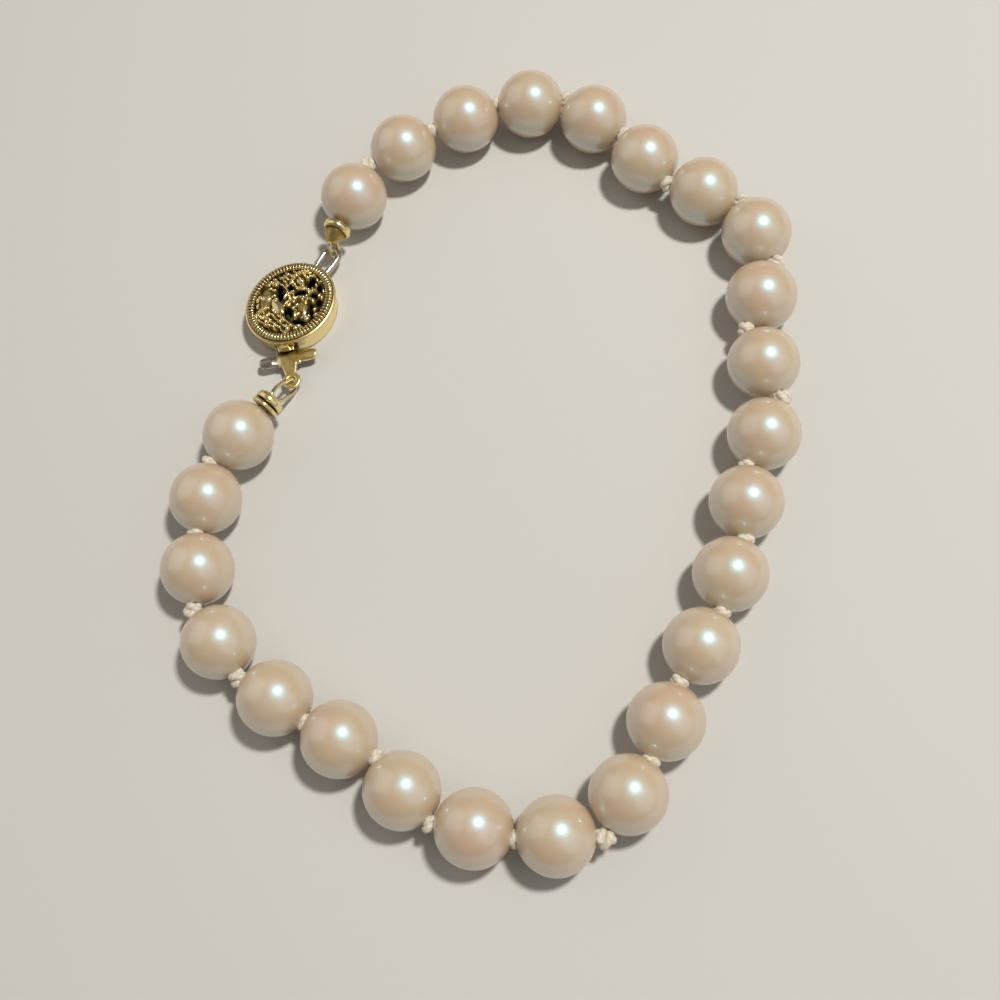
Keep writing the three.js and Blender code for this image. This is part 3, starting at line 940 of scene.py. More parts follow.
@dataclass(frozen=True)
class Petal:
    """Raised almond of the ornament, pointed at both ends, with a crest along its middle."""

    centre: tuple[float, float]
    long: float
    wide: float
    slant: float
    rise: float = 1.0
    narrowing: float = 0.7
    sinking: float = 0.35

    def height(self, u: np.ndarray, v: np.ndarray) -> np.ndarray:
        """Height above the ground: a dome over an oval that narrows and sinks towards its tips.

        Args:
            u: First coordinate of each point, in mm.
            v: Second coordinate.

        Returns:
            The height as a share of the full rise.
        """
        x, y = turned_to(u, v, self.centre, self.slant)
        along = np.clip(1 - (x / (self.long / 2)) ** 2, 0, 1)
        half = self.wide / 2 * along**self.narrowing
        across = np.abs(y) / np.maximum(half, 1e-4)
        dome = np.sqrt(np.clip(1 - across**2, 0, 1))
        return self.rise * np.where(across < 1, dome * along**self.sinking, 0)


@dataclass(frozen=True)
class Scroll:
    """Raised band along an arc; teeth are milled across it where it has any."""

    centre: tuple[float, float]
    radius: float
    start: float
    sweep: float
    wide: float
    teeth: int = 0
    rise: float = 1.0
    valley: float = 0.35
    tooth_power: float = 0.6

    def height(self, u: np.ndarray, v: np.ndarray) -> np.ndarray:
        """Height above the ground: a round section whose crest dips between the teeth.

        Args:
            u: First coordinate of each point, in mm.
            v: Second coordinate.

        Returns:
            The height as a share of the full rise.
        """
        x, y = u - self.centre[0], v - self.centre[1]
        angle = (np.degrees(np.arctan2(y, x)) - self.start) % 360
        angle = np.where(angle > (360 + self.sweep) / 2, angle - 360, angle)
        inside = np.clip(angle, 0, self.sweep)
        nearest = np.radians(inside + self.start)
        gap = np.hypot(x - self.radius * np.cos(nearest), y - self.radius * np.sin(nearest))
        across = gap / (self.wide / 2)
        dome = np.sqrt(np.clip(1 - across**2, 0, 1))
        wave = 1.0
        if self.teeth:
            beat = np.abs(np.sin(math.pi * self.teeth * inside / self.sweep))
            wave = self.valley + (1 - self.valley) * beat**self.tooth_power
        return self.rise * dome * wave


FILIGREE_SLITS = (
    Slit((0.03, 1.3), 1.5, 0.42, 49),
    Slit((-0.87, -0.72), 1.0, 0.56, 47),
    Slit((1.01, 1.0), 0.45, 0.36, 42),
    Slit((2.57, -0.12), 1.0, 0.5, 26),
    Slit((2.66, -1.06), 0.5, 0.42, 46),
    Slit((1.86, -1.19), 0.5, 0.3, -56),
    Slit((1.62, -2.06), 0.55, 0.44, 51),
    Slit((1.19, -0.02), 1.0, 0.32, -32),
    Slit((0.64, -2.14), 1.25, 0.26, 53),
    Slit((-0.87, -2.12), 1.2, 0.28, -58),
)

FILIGREE_HOLLOWS = (
    Slit((-1.35, 1.75), 2.3, 1.1, 38),
    Slit((0.35, -1.15), 1.1, 0.7, 40),
)

FILIGREE_SCROLLS = (
    Scroll((2.15, 0.34), 1.2, 24, 115, 0.4, teeth=9),
    Scroll((-2.41, -0.18), 1.45, 61, 88, 0.42, teeth=8),
    Scroll((0.83, -1.33), 2.37, 168, 52, 0.22, rise=0.8),
    Scroll((-1.27, -1.85), 1.19, 144, 68, 0.18, rise=0.6),
    Scroll((-0.78, -1.94), 2.33, 14, 32, 0.26, rise=0.8),
    Scroll((0.01, 1.27), 0.66, -96, 110, 0.24, rise=0.8),
)

FILIGREE_PETALS = (
    Petal((0.61, 1.8), 0.7, 0.28, -76),
    Petal((0.26, -1.78), 1.55, 0.52, 43, rise=1.15),
    Petal((-0.52, -1.34), 1.05, 0.4, 40, rise=0.9),
    Petal((-1.07, 0.41), 1.8, 0.95, 82, rise=0.75),
    Petal((-1.22, 1.89), 1.0, 0.7, -46, rise=0.4),
    Petal((-2.51, 0.21), 1.15, 0.42, -82),
    Petal((-2.01, -0.73), 1.0, 0.27, -87),
    Petal((-1.65, -0.75), 0.7, 0.28, 83),
    Petal((-3.07, 0.05), 1.0, 0.27, -84),
    Petal((-3.49, -0.04), 0.55, 0.26, 90),
    Petal((-3.5, -0.76), 0.55, 0.25, -88),
    Petal((-2.39, -1.0), 0.6, 0.26, 89),
    Petal((-1.94, -1.86), 0.7, 0.5, 32),
    Petal((1.64, 0.23), 1.0, 0.7, -46, rise=0.4),
    Petal((0.81, 0.48), 0.48, 0.34, -36),
    Petal((0.35, 0.41), 0.56, 0.34, 34),
    Petal((0.13, 0.07), 0.48, 0.32, -16),
    Petal((-0.45, -0.01), 0.46, 0.3, -36),
    Petal((2.09, 0.62), 0.62, 0.58, 14, rise=1.1),
    Petal((2.69, 0.48), 0.5, 0.44, 14),
    Petal((3.16, 0.22), 0.42, 0.4, 14),
    Petal((1.87, -0.42), 0.48, 0.34, -36),
    Petal((2.02, -0.8), 0.42, 0.34, 14),
    Petal((2.29, -0.96), 0.42, 0.32, -46),
    Petal((3.15, -0.7), 0.45, 0.24, -31),
)


@dataclass
class Sheet:
    """Metal sheet given by the distance to its outline, its upper side and its lower side.

    The upper and the lower side are two grids over the same points. Only the quads inside the outline
    are made, the points beside it are moved on to it, and a rim joins both sides along it.
    """

    reach: tuple[float, float, float, float]
    pitch: float
    passes: int = 3
    pulled: float = 0.75
    longest_pull: float = 0.5
    # Low polish of the lower side: tarnish and painted shade under the sheet.
    under_polish_and_shade: float = 0.1

    def build(
        self,
        surface: Surface,
        outline: PointFunction,
        upper: PointFunction,
        lower: PointFunction,
        finish: Callable[..., tuple[np.ndarray, np.ndarray]],
    ) -> None:
        """Adds the sheet to a surface.

        Args:
            surface: Surface that takes the sheet.
            outline: Function of u and v: the distance to the edge, negative in the metal.
            upper: Function of u, v and that distance: the height of the upper side.
            lower: The same for the lower side.
            finish: Function of u, v and upper height: polish, which also carries painted light, and wear of
                each point.
        """
        low_u, high_u, low_v, high_v = self.reach
        u, v = np.meshgrid(
            np.arange(low_u, high_u + self.pitch, self.pitch),
            np.arange(low_v, high_v + self.pitch, self.pitch),
            indexing="ij",
        )
        middle = outline(u[:-1, :-1] + self.pitch / 2, v[:-1, :-1] + self.pitch / 2)
        keep = middle < 0
        step = self.pitch / 50
        limit = self.pitch * self.longest_pull
        for _ in range(self.passes):
            gap = outline(u, v)
            slope_u = (outline(u + step, v) - gap) / step
            slope_v = (outline(u, v + step) - gap) / step
            size = np.maximum(slope_u**2 + slope_v**2, 1e-9)
            pull = np.where(np.abs(gap) < self.pitch * self.pulled, gap / size, 0)
            u = u - np.clip(pull * slope_u, -limit, limit)
            v = v - np.clip(pull * slope_v, -limit, limit)
        gap = np.minimum(outline(u, v), 0)
        top, bottom = upper(u, v, gap), lower(u, v, gap)
        polish_and_painted_light, wear = finish(u, v, top)
        first = surface.count
        surface.grid(np.stack([u, v, top], axis=-1), polish_and_painted_light, wear, keep=keep)
        second = surface.count
        surface.grid(np.stack([u, v, bottom], axis=-1), self.under_polish_and_shade, wear, keep=keep, flip=True)
        surface.faces.append(self.rim(keep, u.shape, first, second))

    @staticmethod
    def rim(keep: np.ndarray, shape: tuple[int, int], first: int, second: int) -> np.ndarray:
        """Quads that join the two sides along every edge between a made quad and a left-out one.

        Args:
            keep: Which quads of the grid are made.
            shape: Rows and columns of the grid's points.
            first: Number of the upper side's first point.
            second: Number of the lower side's first point.

        Returns:
            The quads, turned outwards.
        """
        index = np.arange(shape[0] * shape[1]).reshape(shape)
        framed = np.pad(keep, 1)
        parts = []
        for inward, shift in ((True, 1), (False, -1)):
            here = framed[1:-1, 1:-1]
            beside = np.roll(framed, shift, axis=0)[1:-1, 1:-1]
            i, j = np.nonzero(here & ~beside)
            row = i if inward else i + 1
            a, b = index[row, j], index[row, j + 1]
            a, b = (a, b) if inward else (b, a)
            parts.append(np.stack([b + first, a + first, a + second, b + second], axis=-1))
            beside = np.roll(framed, shift, axis=1)[1:-1, 1:-1]
            i, j = np.nonzero(here & ~beside)
            column = j if inward else j + 1
            a, b = index[i + 1, column], index[i, column]
            a, b = (a, b) if inward else (b, a)
            parts.append(np.stack([b + first, a + first, a + second, b + second], axis=-1))
        return np.concatenate(parts)


# Rows of the box's back and wall: share of the oval's half axes, distance beyond it, height and polish,
# which also carries painted light.
BACK_ROWS = (
    (0.0, 0.0, 0.0, 0.2),
    (0.5, 0.0, 0.0, 0.2),
    (1.0, -0.14, 0.0, 0.4),
    (1.0, -0.04, 0.04, 0.7),
    (1.0, 0.0, 0.14, 0.8),
    (1.0, 0.0, 1.0, 0.8),
)
# Rows of the flange: share of its overhang, depth below the face and polish; the low polish next to the wall
# under the flange and in the seam between the flange and the border is painted shadow.
FLANGE_ROWS = (
    (0.0, 0.48, 0.7),
    (0.08, 0.42, 0.15),
    (0.76, 0.4, 0.5),
    (1.0, 0.34, 0.95),
    (1.0, 0.2, 0.95),
    (0.8, 0.13, 0.9),
    (0.36, 0.11, 0.3),
    (0.12, 0.09, 0.05),
)
# Rows of the box's inside: share of the oval's half axes and height.
INSIDE_ROWS = ((0.0, 0.35), (0.6, 0.35), (0.9, 0.35), (0.915, 0.5), (0.915, 2.1))


@dataclass
class ClaspBox:
    """Oval box of the clasp, with its milled border, its filigree face and the ring on its end."""

    string: String
    half_long: float = 4.03
    half_wide: float = 3.56
    face_top: float = 2.45
    face_thickness: float = 0.3
    rise: float = 0.36
    relief_fall: float = 0.6
    # Low polish of the ground and its gain with height: tarnish and painted shade below, rubbed metal and
    # painted highlight on the crests.
    ground_polish_and_shade: float = 0.08
    hollow_polish: float = 0.3
    hollow_edge: float = 0.25
    polish_and_highlight_gain: float = 1.3
    face_wear: float = 0.25
    border: float = 0.6
    border_rise: float = 0.32
    border_sunk: float = 0.05
    border_seam: float = 0.02
    border_steps: int = 11
    teeth: int = 76
    tooth_steps: int = 8
    tooth_depth: float = 0.3
    tooth_power: float = 0.6
    tooth_painted_shade: float = 1.5
    # How far painted shade darkens the border between its teeth.
    tooth_wear: float = 0.4
    overhang: float = 0.25
    pitch: float = 0.042
    edge_round: float = 0.09
    ground_drop: float = 0.04
    ring_long: float = 3.4
    ring_wide: float = 1.95
    ring_wire: float = 0.45
    ring_stout: float = 0.57
    ring_height: float = 1.3
    ring_bearing: float = 12.2
    ring_near: float = 0.92
    ring_flare: float = 0.14
    ring_sides: int = 16
    round_steps: int = 96
    fill_pitch: float = 0.42
    fill_wide: float = 0.27
    fill_long: tuple[float, float] = (0.4, 0.62)
    fill_rise: tuple[float, float] = (0.45, 0.85)
    fill_jitter: float = 0.09
    fill_clear: float = 0.16
    fill_swirl: tuple[float, float] = (-0.6, 0.4)
    fill_turn: float = 70.0
    fill_spread: float = 18.0
    fill_seed: int = 5
    place: Place = field(init=False)
    fill: tuple[Petal, ...] = field(init=False)

    def __post_init__(self) -> None:
        """Finds the box in the frame by the oval that its flat back covers."""
        points = node_points("clasp_box")
        foot = np.unique(np.round(points[points[:, 2] < 0.001][:, :2], 3), axis=0)
        middle = foot.mean(axis=0)
        _, directions = np.linalg.eigh((foot - middle).T @ (foot - middle))
        ahead = directions[:, 1]
        ahead = ahead * np.sign(ahead @ (self.string.centres[0][:2] - middle))
        heading = math.degrees(math.atan2(ahead[1], ahead[0]))
        self.place = Place.flat(np.array([*middle, 0.0]), heading)
        self.fill = self.filling()

    def wall(self, bearing: float) -> float:
        """Distance from the middle to the outside of the wall, seen along bearing, in degrees."""
        angle = math.radians(bearing)
        return 1 / math.hypot(math.cos(angle) / self.half_long, math.sin(angle) / self.half_wide)

    def filling(self) -> tuple[Petal, ...]:
        """Small leaves that fill the ground between the larger forms, in rows that follow their swirl.

        They stand on a jittered grid; one is left out where its middle meets an opening, a larger form,
        the border or one of the two plain hollows of the face. Each leans by a fixed turn, give or take
        a spread, from the line to the middle of the swirl.

        Returns:
            The leaves.
        """
        rng = np.random.default_rng(self.fill_seed)
        reach = np.arange(-self.half_long, self.half_long, self.fill_pitch)
        u, v = np.meshgrid(reach, reach, indexing="ij")
        u = u + rng.uniform(-self.fill_jitter, self.fill_jitter, u.shape)
        v = v + rng.uniform(-self.fill_jitter, self.fill_jitter, v.shape)
        forms = [form.height(u, v) for form in (*FILIGREE_PETALS, *FILIGREE_SCROLLS)]
        free = np.maximum.reduce(forms) < 0.05
        free &= self.outline(u, v) < -self.fill_clear
        for hollow in FILIGREE_HOLLOWS:
            free &= hollow.distance(u, v) > 0
        bearing = np.degrees(np.arctan2(v - self.fill_swirl[1], u - self.fill_swirl[0]))
        slant = bearing + self.fill_turn + rng.uniform(-self.fill_spread, self.fill_spread, u.shape)
        long = rng.uniform(*self.fill_long, u.shape)
        rise = rng.uniform(*self.fill_rise, u.shape)
        rows = zip(u[free], v[free], long[free], slant[free], rise[free])
        return tuple(Petal((x, y), size, self.fill_wide, lean, tall) for x, y, size, lean, tall in rows)

    def shell(self, surface: Surface) -> None:
        """Adds back, wall, flange and milled border: one profile carried round the oval.

        Each row of the profile is a share of the oval's two half axes, a distance beyond it, a height,
        a share of the tooth wave and a polish, which also carries painted light. The border's rows follow
        half a circle, made fuller, and are brightest on their crest, rubbed metal and painted highlight;
        the tooth wave sinks their crest between two teeth and paints shade there.

        Args:
            surface: Surface that takes it.
        """
        top = self.face_top
        rows = [(share, off, height, 0.0, polish_and_painted_light) for share, off, height, polish_and_painted_light in BACK_ROWS]
        rows += [(1.0, part * self.overhang, top - deep, 0.0, polish_and_painted_light) for part, deep, polish_and_painted_light in FLANGE_ROWS]
        for angle in np.linspace(0, math.pi, self.border_steps):
            arch = math.sin(angle)
            off = -self.border / 2 + (self.border / 2 + self.border_seam) * math.cos(angle)
            height = top - self.border_sunk + (self.border_rise + self.border_sunk) * arch**0.35
            # Polish peaks on the border's crest: rubbed metal and painted highlight.
            rows.append((1.0, off, height, arch**0.3, 0.3 + 0.7 * arch**0.5))
        rows.append((1.0, -self.border - self.border_seam, top - self.face_thickness, 0.0, 0.1))
        share, off, height, wave, polish_and_painted_light = (column[:, None] for column in np.array(rows).T)
        angle = np.linspace(0, 2 * math.pi, self.teeth * self.tooth_steps, endpoint=False)
        dip = (1 - np.abs(np.sin(angle * self.teeth / 2)) ** self.tooth_power) * wave
        u = np.maximum(self.half_long * share + off, 0.001) * np.cos(angle)
        v = np.maximum(self.half_wide * share + off, 0.001) * np.sin(angle)
        points = np.stack([u, v, height - self.tooth_depth * dip], axis=-1)
        # Painted shade between the teeth: polish falls where the tooth wave dips.
        shine = polish_and_painted_light * np.clip(1 - self.tooth_painted_shade * dip, 0, 1)
        surface.grid(points, shine, self.tooth_wear * wave * shine, wrap_columns=True, flip=True)

    def hollow(self, surface: Surface) -> None:
        """Adds the inside of the box, its floor and the inner side of its wall, row by row, painted dark as
        shade.

        Args:
            surface: Surface that takes it.
        """
        share, height = (column[:, None] for column in np.array(INSIDE_ROWS).T)
        angle = np.linspace(0, 2 * math.pi, self.round_steps, endpoint=False)
        reach = np.maximum(share, 0.001)
        u = self.half_long * reach * np.cos(angle)
        v = self.half_wide * reach * np.sin(angle)
        points = np.stack([u, v, np.broadcast_to(height, u.shape)], axis=-1)
        # Very low polish: painted shade on the inside of the box.
        surface.grid(points, 0.05, wrap_columns=True)

    def ground(self, u: np.ndarray, v: np.ndarray) -> np.ndarray:
        """Relief of the face as a share of the full rise: the highest of all petals and scrolls."""
        forms = [form.height(u, v) for form in (*FILIGREE_PETALS, *FILIGREE_SCROLLS, *self.fill)]
        return np.maximum.reduce(forms)

    def outline(self, u: np.ndarray, v: np.ndarray) -> np.ndarray:
        """Distance to the edge of the face or of its nearest opening, whichever is nearer.

        Args:
            u: First coordinate of each point, in mm.
            v: Second coordinate.

        Returns:
            The distance in mm, negative in the metal.
        """
        rim = Slit((0.0, 0.0), 2 * (self.half_long - self.border), 2 * (self.half_wide - self.border), 0)
        gaps = [rim.distance(u, v)] + [-slit.distance(u, v) for slit in FILIGREE_SLITS]
        return np.maximum.reduce(gaps)

    def upper(self, u: np.ndarray, v: np.ndarray, gap: np.ndarray) -> np.ndarray:
        """Upper side: ground and relief, which both fall by a quarter circle towards each opening.

        Args:
            u: First coordinate of each point, in mm.
            v: Second coordinate.
            gap: Distance to the sheet's edge; not used.

        Returns:
            The height in mm.
        """
        openings = np.maximum.reduce([-slit.distance(u, v) for slit in FILIGREE_SLITS])
        near = np.clip(1 + openings / self.edge_round, 0, 1)
        fall = self.edge_round * (1 - np.sqrt(1 - near**2))
        relief = self.rise * self.ground(u, v) * (1 - self.relief_fall * near**2)
        return self.face_top - self.ground_drop + relief - fall

    def lower(self, u: np.ndarray, v: np.ndarray, gap: np.ndarray) -> np.ndarray:
        """Lower side: flat, however far the edge is."""
        return np.full_like(u, self.face_top - self.face_thickness)

    def finish(self, u: np.ndarray, v: np.ndarray, top: np.ndarray) -> tuple[np.ndarray, np.ndarray]:
        """Polish grows with height: bright crests of rubbed metal and painted highlight over a ground of
        tarnish and painted shade, half bright in the hollows.

        Args:
            u: First coordinate of each point, in mm.
            v: Second coordinate.
            top: Height of the upper side.

        Returns:
            Polish, which also carries painted light, and wear of each point.
        """
        share = (top - self.face_top + self.ground_drop) / self.rise
        plain = np.minimum.reduce([hollow.distance(u, v) for hollow in FILIGREE_HOLLOWS])
        ground = self.ground_polish_and_shade + self.hollow_polish * np.clip(-plain / self.hollow_edge, 0, 1)
        shine = np.clip(ground + self.polish_and_highlight_gain * share, 0, 1)
        return shine, self.face_wear * shine**2

    def ring(self, surface: Surface) -> None:
        """Adds the ring: a round wire along a level drop that is sunk in the wall of the box.

        At angle a it stands at half its length times cos a ahead of its middle, and at half its width
        times sin a to the side, times a factor that grows towards its far end.

        Args:
            surface: Surface that takes it.
        """
        middle = self.wall(self.ring_bearing) - self.ring_wire + self.ring_long / 2
        angle = np.linspace(0, 2 * math.pi, self.round_steps, endpoint=False)
        drop = self.ring_near + self.ring_flare * np.cos(angle)
        along = middle + (self.ring_long - self.ring_wire) / 2 * fuller(np.cos(angle))
        across = (self.ring_wide - self.ring_wire) / 2 * fuller(np.sin(angle)) * drop
        path = np.stack([along, across, np.full_like(angle, self.ring_height)], axis=-1)
        path = Place.flat(np.zeros(3), self.ring_bearing).world(path)
        tube(surface, path, self.ring_stout / 2, self.ring_sides, closed=True, value=0.9, wear=0.95)

    def ring_end(self) -> np.ndarray:
        """Middle of the ring's wire at its far end.

        Returns:
            The point in the row frame, in mm.
        """
        far = self.wall(self.ring_bearing) - self.ring_wire * 1.5 + self.ring_long
        angle = math.radians(self.ring_bearing)
        return self.place.world(np.array([far * math.cos(angle), far * math.sin(angle), self.ring_height]))

    def build(self, material: bpy.types.Material) -> bpy.types.Object:
        """Builds and dresses the clasp box.

        Args:
            material: The gold finish.

        Returns:
            The new object.
        """
        surface = Surface("filigree_clasp_box", self.place)
        self.shell(surface)
        self.hollow(surface)
        edge_u, edge_v = self.half_long - self.border, self.half_wide - self.border
        sheet = Sheet((-edge_u - 0.1, edge_u + 0.1, -edge_v - 0.1, edge_v + 0.1), self.pitch)
        sheet.build(surface, self.outline, self.upper, self.lower, self.finish)
        self.ring(surface)
        piece = surface.build(attributes=("polish_and_painted_light", "wear"))
        finish_piece(piece, material, Slot.GOLD, "clasp_box")
        return piece


@dataclass
class ClaspTongue:
    """Tongue of the clasp: cross plate, neck, eye, insert, folded spring and thumb tab."""

    box: ClaspBox
    bearing: float = 222.0
    swing: float = 55.0
    stand_off: float = 1.13
    length: float = 5.2
    width: float = 2.1
    thickness: float = 0.3
    height: float = 0.85
    wing_span: float = 5.2
    wing_depth: float = 1.3
    wing_crown: float = 0.2
    blade_start: float = 0.7
    blade_run: float = 0.8
    blade_narrow: float = 0.72
    blade_flare: float = 0.36
    neck: float = 0.78
    neck_root: float = 2.2
    neck_taper: float = 1.3
    eye_distance: float = 2.15
    eye_outer: float = 1.62
    eye_hole: float = 0.66
    spring_top: float = 1.66
    spring_width: float = 1.5
    spring_thick: float = 0.2
    thumb_width: float = 0.8
    thumb_thick: float = 0.3
    thumb_top: float = 2.6
    thumb_place: float = 0.57
    worn_from: float = 0.6
    worn_run: float = 0.5
    # Band along the edges made bright: rubbed metal and painted highlight.
    edge_width: float = 0.16
    flat_polish: float = 0.45
    # The insert darkens towards the box: painted shadow.
    insert_from: float = 0.1
    insert_run: float = 0.5
    insert_painted_shadow: float = 0.75
    pitch: float = 0.05
    margin: float = 0.1
    strip_sides: int = 24
    place: Place = field(init=False)

    def __post_init__(self) -> None:
        """Places the tongue just outside the wall, seen from the box's middle along its bearing."""
        angle = math.radians(self.bearing)
        reach = self.box.wall(self.bearing) + self.stand_off
        out = reach * np.array([math.cos(angle), math.sin(angle), 0.0])
        ahead = self.box.place.axes[0]
        heading = math.degrees(math.atan2(ahead[1], ahead[0]))
        self.place = Place.flat(self.box.place.world(out), heading + self.swing)

    def wings(self, x: np.ndarray, y: np.ndarray) -> np.ndarray:
        """Share of the cross plate's half sizes: blades that flare towards round ends.

        Args:
            x: Distance of each point ahead of the cross plate's middle, in mm.
            y: Distance to its side.

        Returns:
            The share, which is 1 on the edge.
        """
        out = np.abs(y) / (self.wing_span / 2)
        half = self.wing_depth / 2 * (self.blade_narrow + self.blade_flare * np.clip(out, 0, 1) ** 1.5)
        return (np.abs(x / half) ** 3 + out**4) ** (1 / 3)

    def crown(self, x: np.ndarray, y: np.ndarray) -> np.ndarray:
        """Height that the blades are bulged by: most along their middle, none at the insert.

        Args:
            x: Distance of each point ahead of the cross plate's middle, in mm.
            y: Distance to its side.

        Returns:
            The height in mm.
        """
        across = np.clip(1 - (x / (self.wing_depth / 2)) ** 2, 0, 1)
        return self.wing_crown * across * np.clip((np.abs(y) - self.blade_start) / self.blade_run, 0, 1)

    def outline(self, x: np.ndarray, y: np.ndarray) -> np.ndarray:
        """Distance to the sheet's edge: the nearest of wings, insert, neck and eye, less the eye's hole.

        Args:
            x: Distance of each point ahead of the cross plate's middle, in mm.
            y: Distance to its side.

        Returns:
            The distance in mm, negative in the metal.
        """
        wings = true_distance(self.wings, x, y)
        root = np.maximum(np.abs(x) - self.wing_depth / 2, np.abs(y) - self.width / 2)
        insert = np.maximum(np.abs(x - self.length / 2) - self.length / 2, np.abs(y) - self.width / 2)
        taper = np.clip(-x / self.eye_distance, 0, 1)
        half = self.neck / 2 * (self.neck_root - self.neck_taper * taper)
        neck = np.maximum(np.abs(x + self.eye_distance / 2) - self.eye_distance / 2, np.abs(y) - half)
        eye = np.hypot(x + self.eye_distance, y) - self.eye_outer / 2
        hole = self.eye_hole / 2 - np.hypot(x + self.eye_distance, y)
        solid = np.minimum.reduce([wings, root, insert, neck, eye])
        return np.maximum(solid, hole)

    def side(self, x: np.ndarray, y: np.ndarray, gap: np.ndarray, sign: float) -> np.ndarray:
        """Height of one side of the sheet, whose edge falls by a quarter circle of half its thickness.

        Args:
            x: Distance of each point ahead of the cross plate's middle, in mm.
            y: Distance to its side.
            gap: Distance to the sheet's edge.
            sign: 1 for the upper side, -1 for the lower.

        Returns:
            The height in mm.
        """
        half = self.thickness / 2
        near = np.clip(1 + gap / half, 0, 1)
        return self.height + half + self.crown(x, y) + sign * half * np.sqrt(1 - near**2 * 0.96)

    def finish(self, x: np.ndarray, y: np.ndarray, top: np.ndarray) -> tuple[np.ndarray, np.ndarray]:
        """Polish is high along the edges, rubbed metal and painted highlight, and low on the insert, painted
        shadow; one blade is worn to the base metal.

        Args:
            x: Distance of each point ahead of the cross plate's middle, in mm.
            y: Distance to its side.
            top: Height of the upper side; not used.

        Returns:
            Polish, which also carries painted light, and wear of each point.
        """
        wear = np.clip((y - self.worn_from) / self.worn_run, 0, 1) * (np.abs(x) < self.wing_depth)
        # Edges made bright: rubbed metal and painted highlight.
        edge = np.clip(1 + self.outline(x, y) / self.edge_width, 0, 1)
        insert = np.clip((x - self.insert_from) / self.insert_run, 0, 1)
        # Painted shadow darkens the insert between the cross plate and the box.
        painted_shade = 1 - self.insert_painted_shadow * insert * (np.abs(y) < self.width / 2 + self.pitch)
        bright = np.maximum(edge, wear * 0.8)
        return (self.flat_polish + (1 - self.flat_polish) * bright) * painted_shade, wear

    def strip(self, surface: Surface, path: np.ndarray, width: float, thick: float, value: float) -> None:
        """Adds a flat strip with rounded corners along a path in the tongue's upright plane.

        Args:
            surface: Surface that takes the strip.
            path: Points of length and height, in mm.
            width: Width of the strip.
            thick: Its thickness.
            value: Its polish.
        """
        ahead = np.gradient(path, axis=0)
        ahead /= np.linalg.norm(ahead, axis=1)[:, None]
        normal = np.stack([-ahead[:, 1], ahead[:, 0]], axis=-1)
        turn = np.linspace(0, 2 * math.pi, self.strip_sides, endpoint=False)
        across = np.sign(np.cos(turn)) * np.abs(np.cos(turn)) ** 0.25 * width / 2
        up = np.sign(np.sin(turn)) * np.abs(np.sin(turn)) ** 0.5 * thick / 2
        shrink = np.ones(len(path))
        shrink[[0, -1]] = 0.02
        plane = path[:, None] + normal[:, None] * (up[None, :] * shrink[:, None])[..., None]
        y = across[None, :] * (0.9 + 0.1 * shrink[:, None])
        points = np.stack([plane[..., 0], np.broadcast_to(y, plane.shape[:2]), plane[..., 1]], axis=-1)
        surface.grid(points, value, wrap_columns=True)

    def spring(self, surface: Surface) -> None:
        """Adds the spring, which folds back over the insert's end and rises, and its upright thumb tab.

        Args:
            surface: Surface that takes them.
        """
        end, low, top = self.length, self.height + self.thickness, self.spring_top - self.spring_thick / 2
        fold = np.array([(end - 0.2, low), (end - 0.05, low + 0.1), (end - 0.2, low + 0.2)])
        run = np.linspace((end - 0.6, low + 0.22), (self.thumb_place, top), 12)
        self.strip(surface, np.concatenate([fold, run]), self.spring_width, self.spring_thick, 0.85)
        thumb = np.linspace((self.thumb_place, top - 0.05), (self.thumb_place, self.thumb_top), 8)
        self.strip(surface, thumb, self.thumb_width, self.thumb_thick, 1.0)

    def build(self, material: bpy.types.Material) -> bpy.types.Object:
        """Builds and dresses the tongue.

        Args:
            material: The gold finish.

        Returns:
            The new object.
        """
        surface = Surface("clasp_tongue_sheet", self.place)
        side = self.wing_span / 2 + self.margin
        sheet = Sheet((-self.eye_distance - 1, self.length + self.margin, -side, side), self.pitch)
        upper, lower = partial(self.side, sign=1), partial(self.side, sign=-1)
        sheet.build(surface, self.outline, upper, lower, self.finish)
        self.spring(surface)
        piece = surface.build(attributes=("polish_and_painted_light", "wear"))
        finish_piece(piece, material, Slot.GOLD, "clasp_tongue")
        return piece

    def eye_middle(self) -> np.ndarray:
        """Middle of the eye, in the row frame."""
        return self.place.world(np.array([-self.eye_distance, 0.0, self.height + self.thickness / 2]))


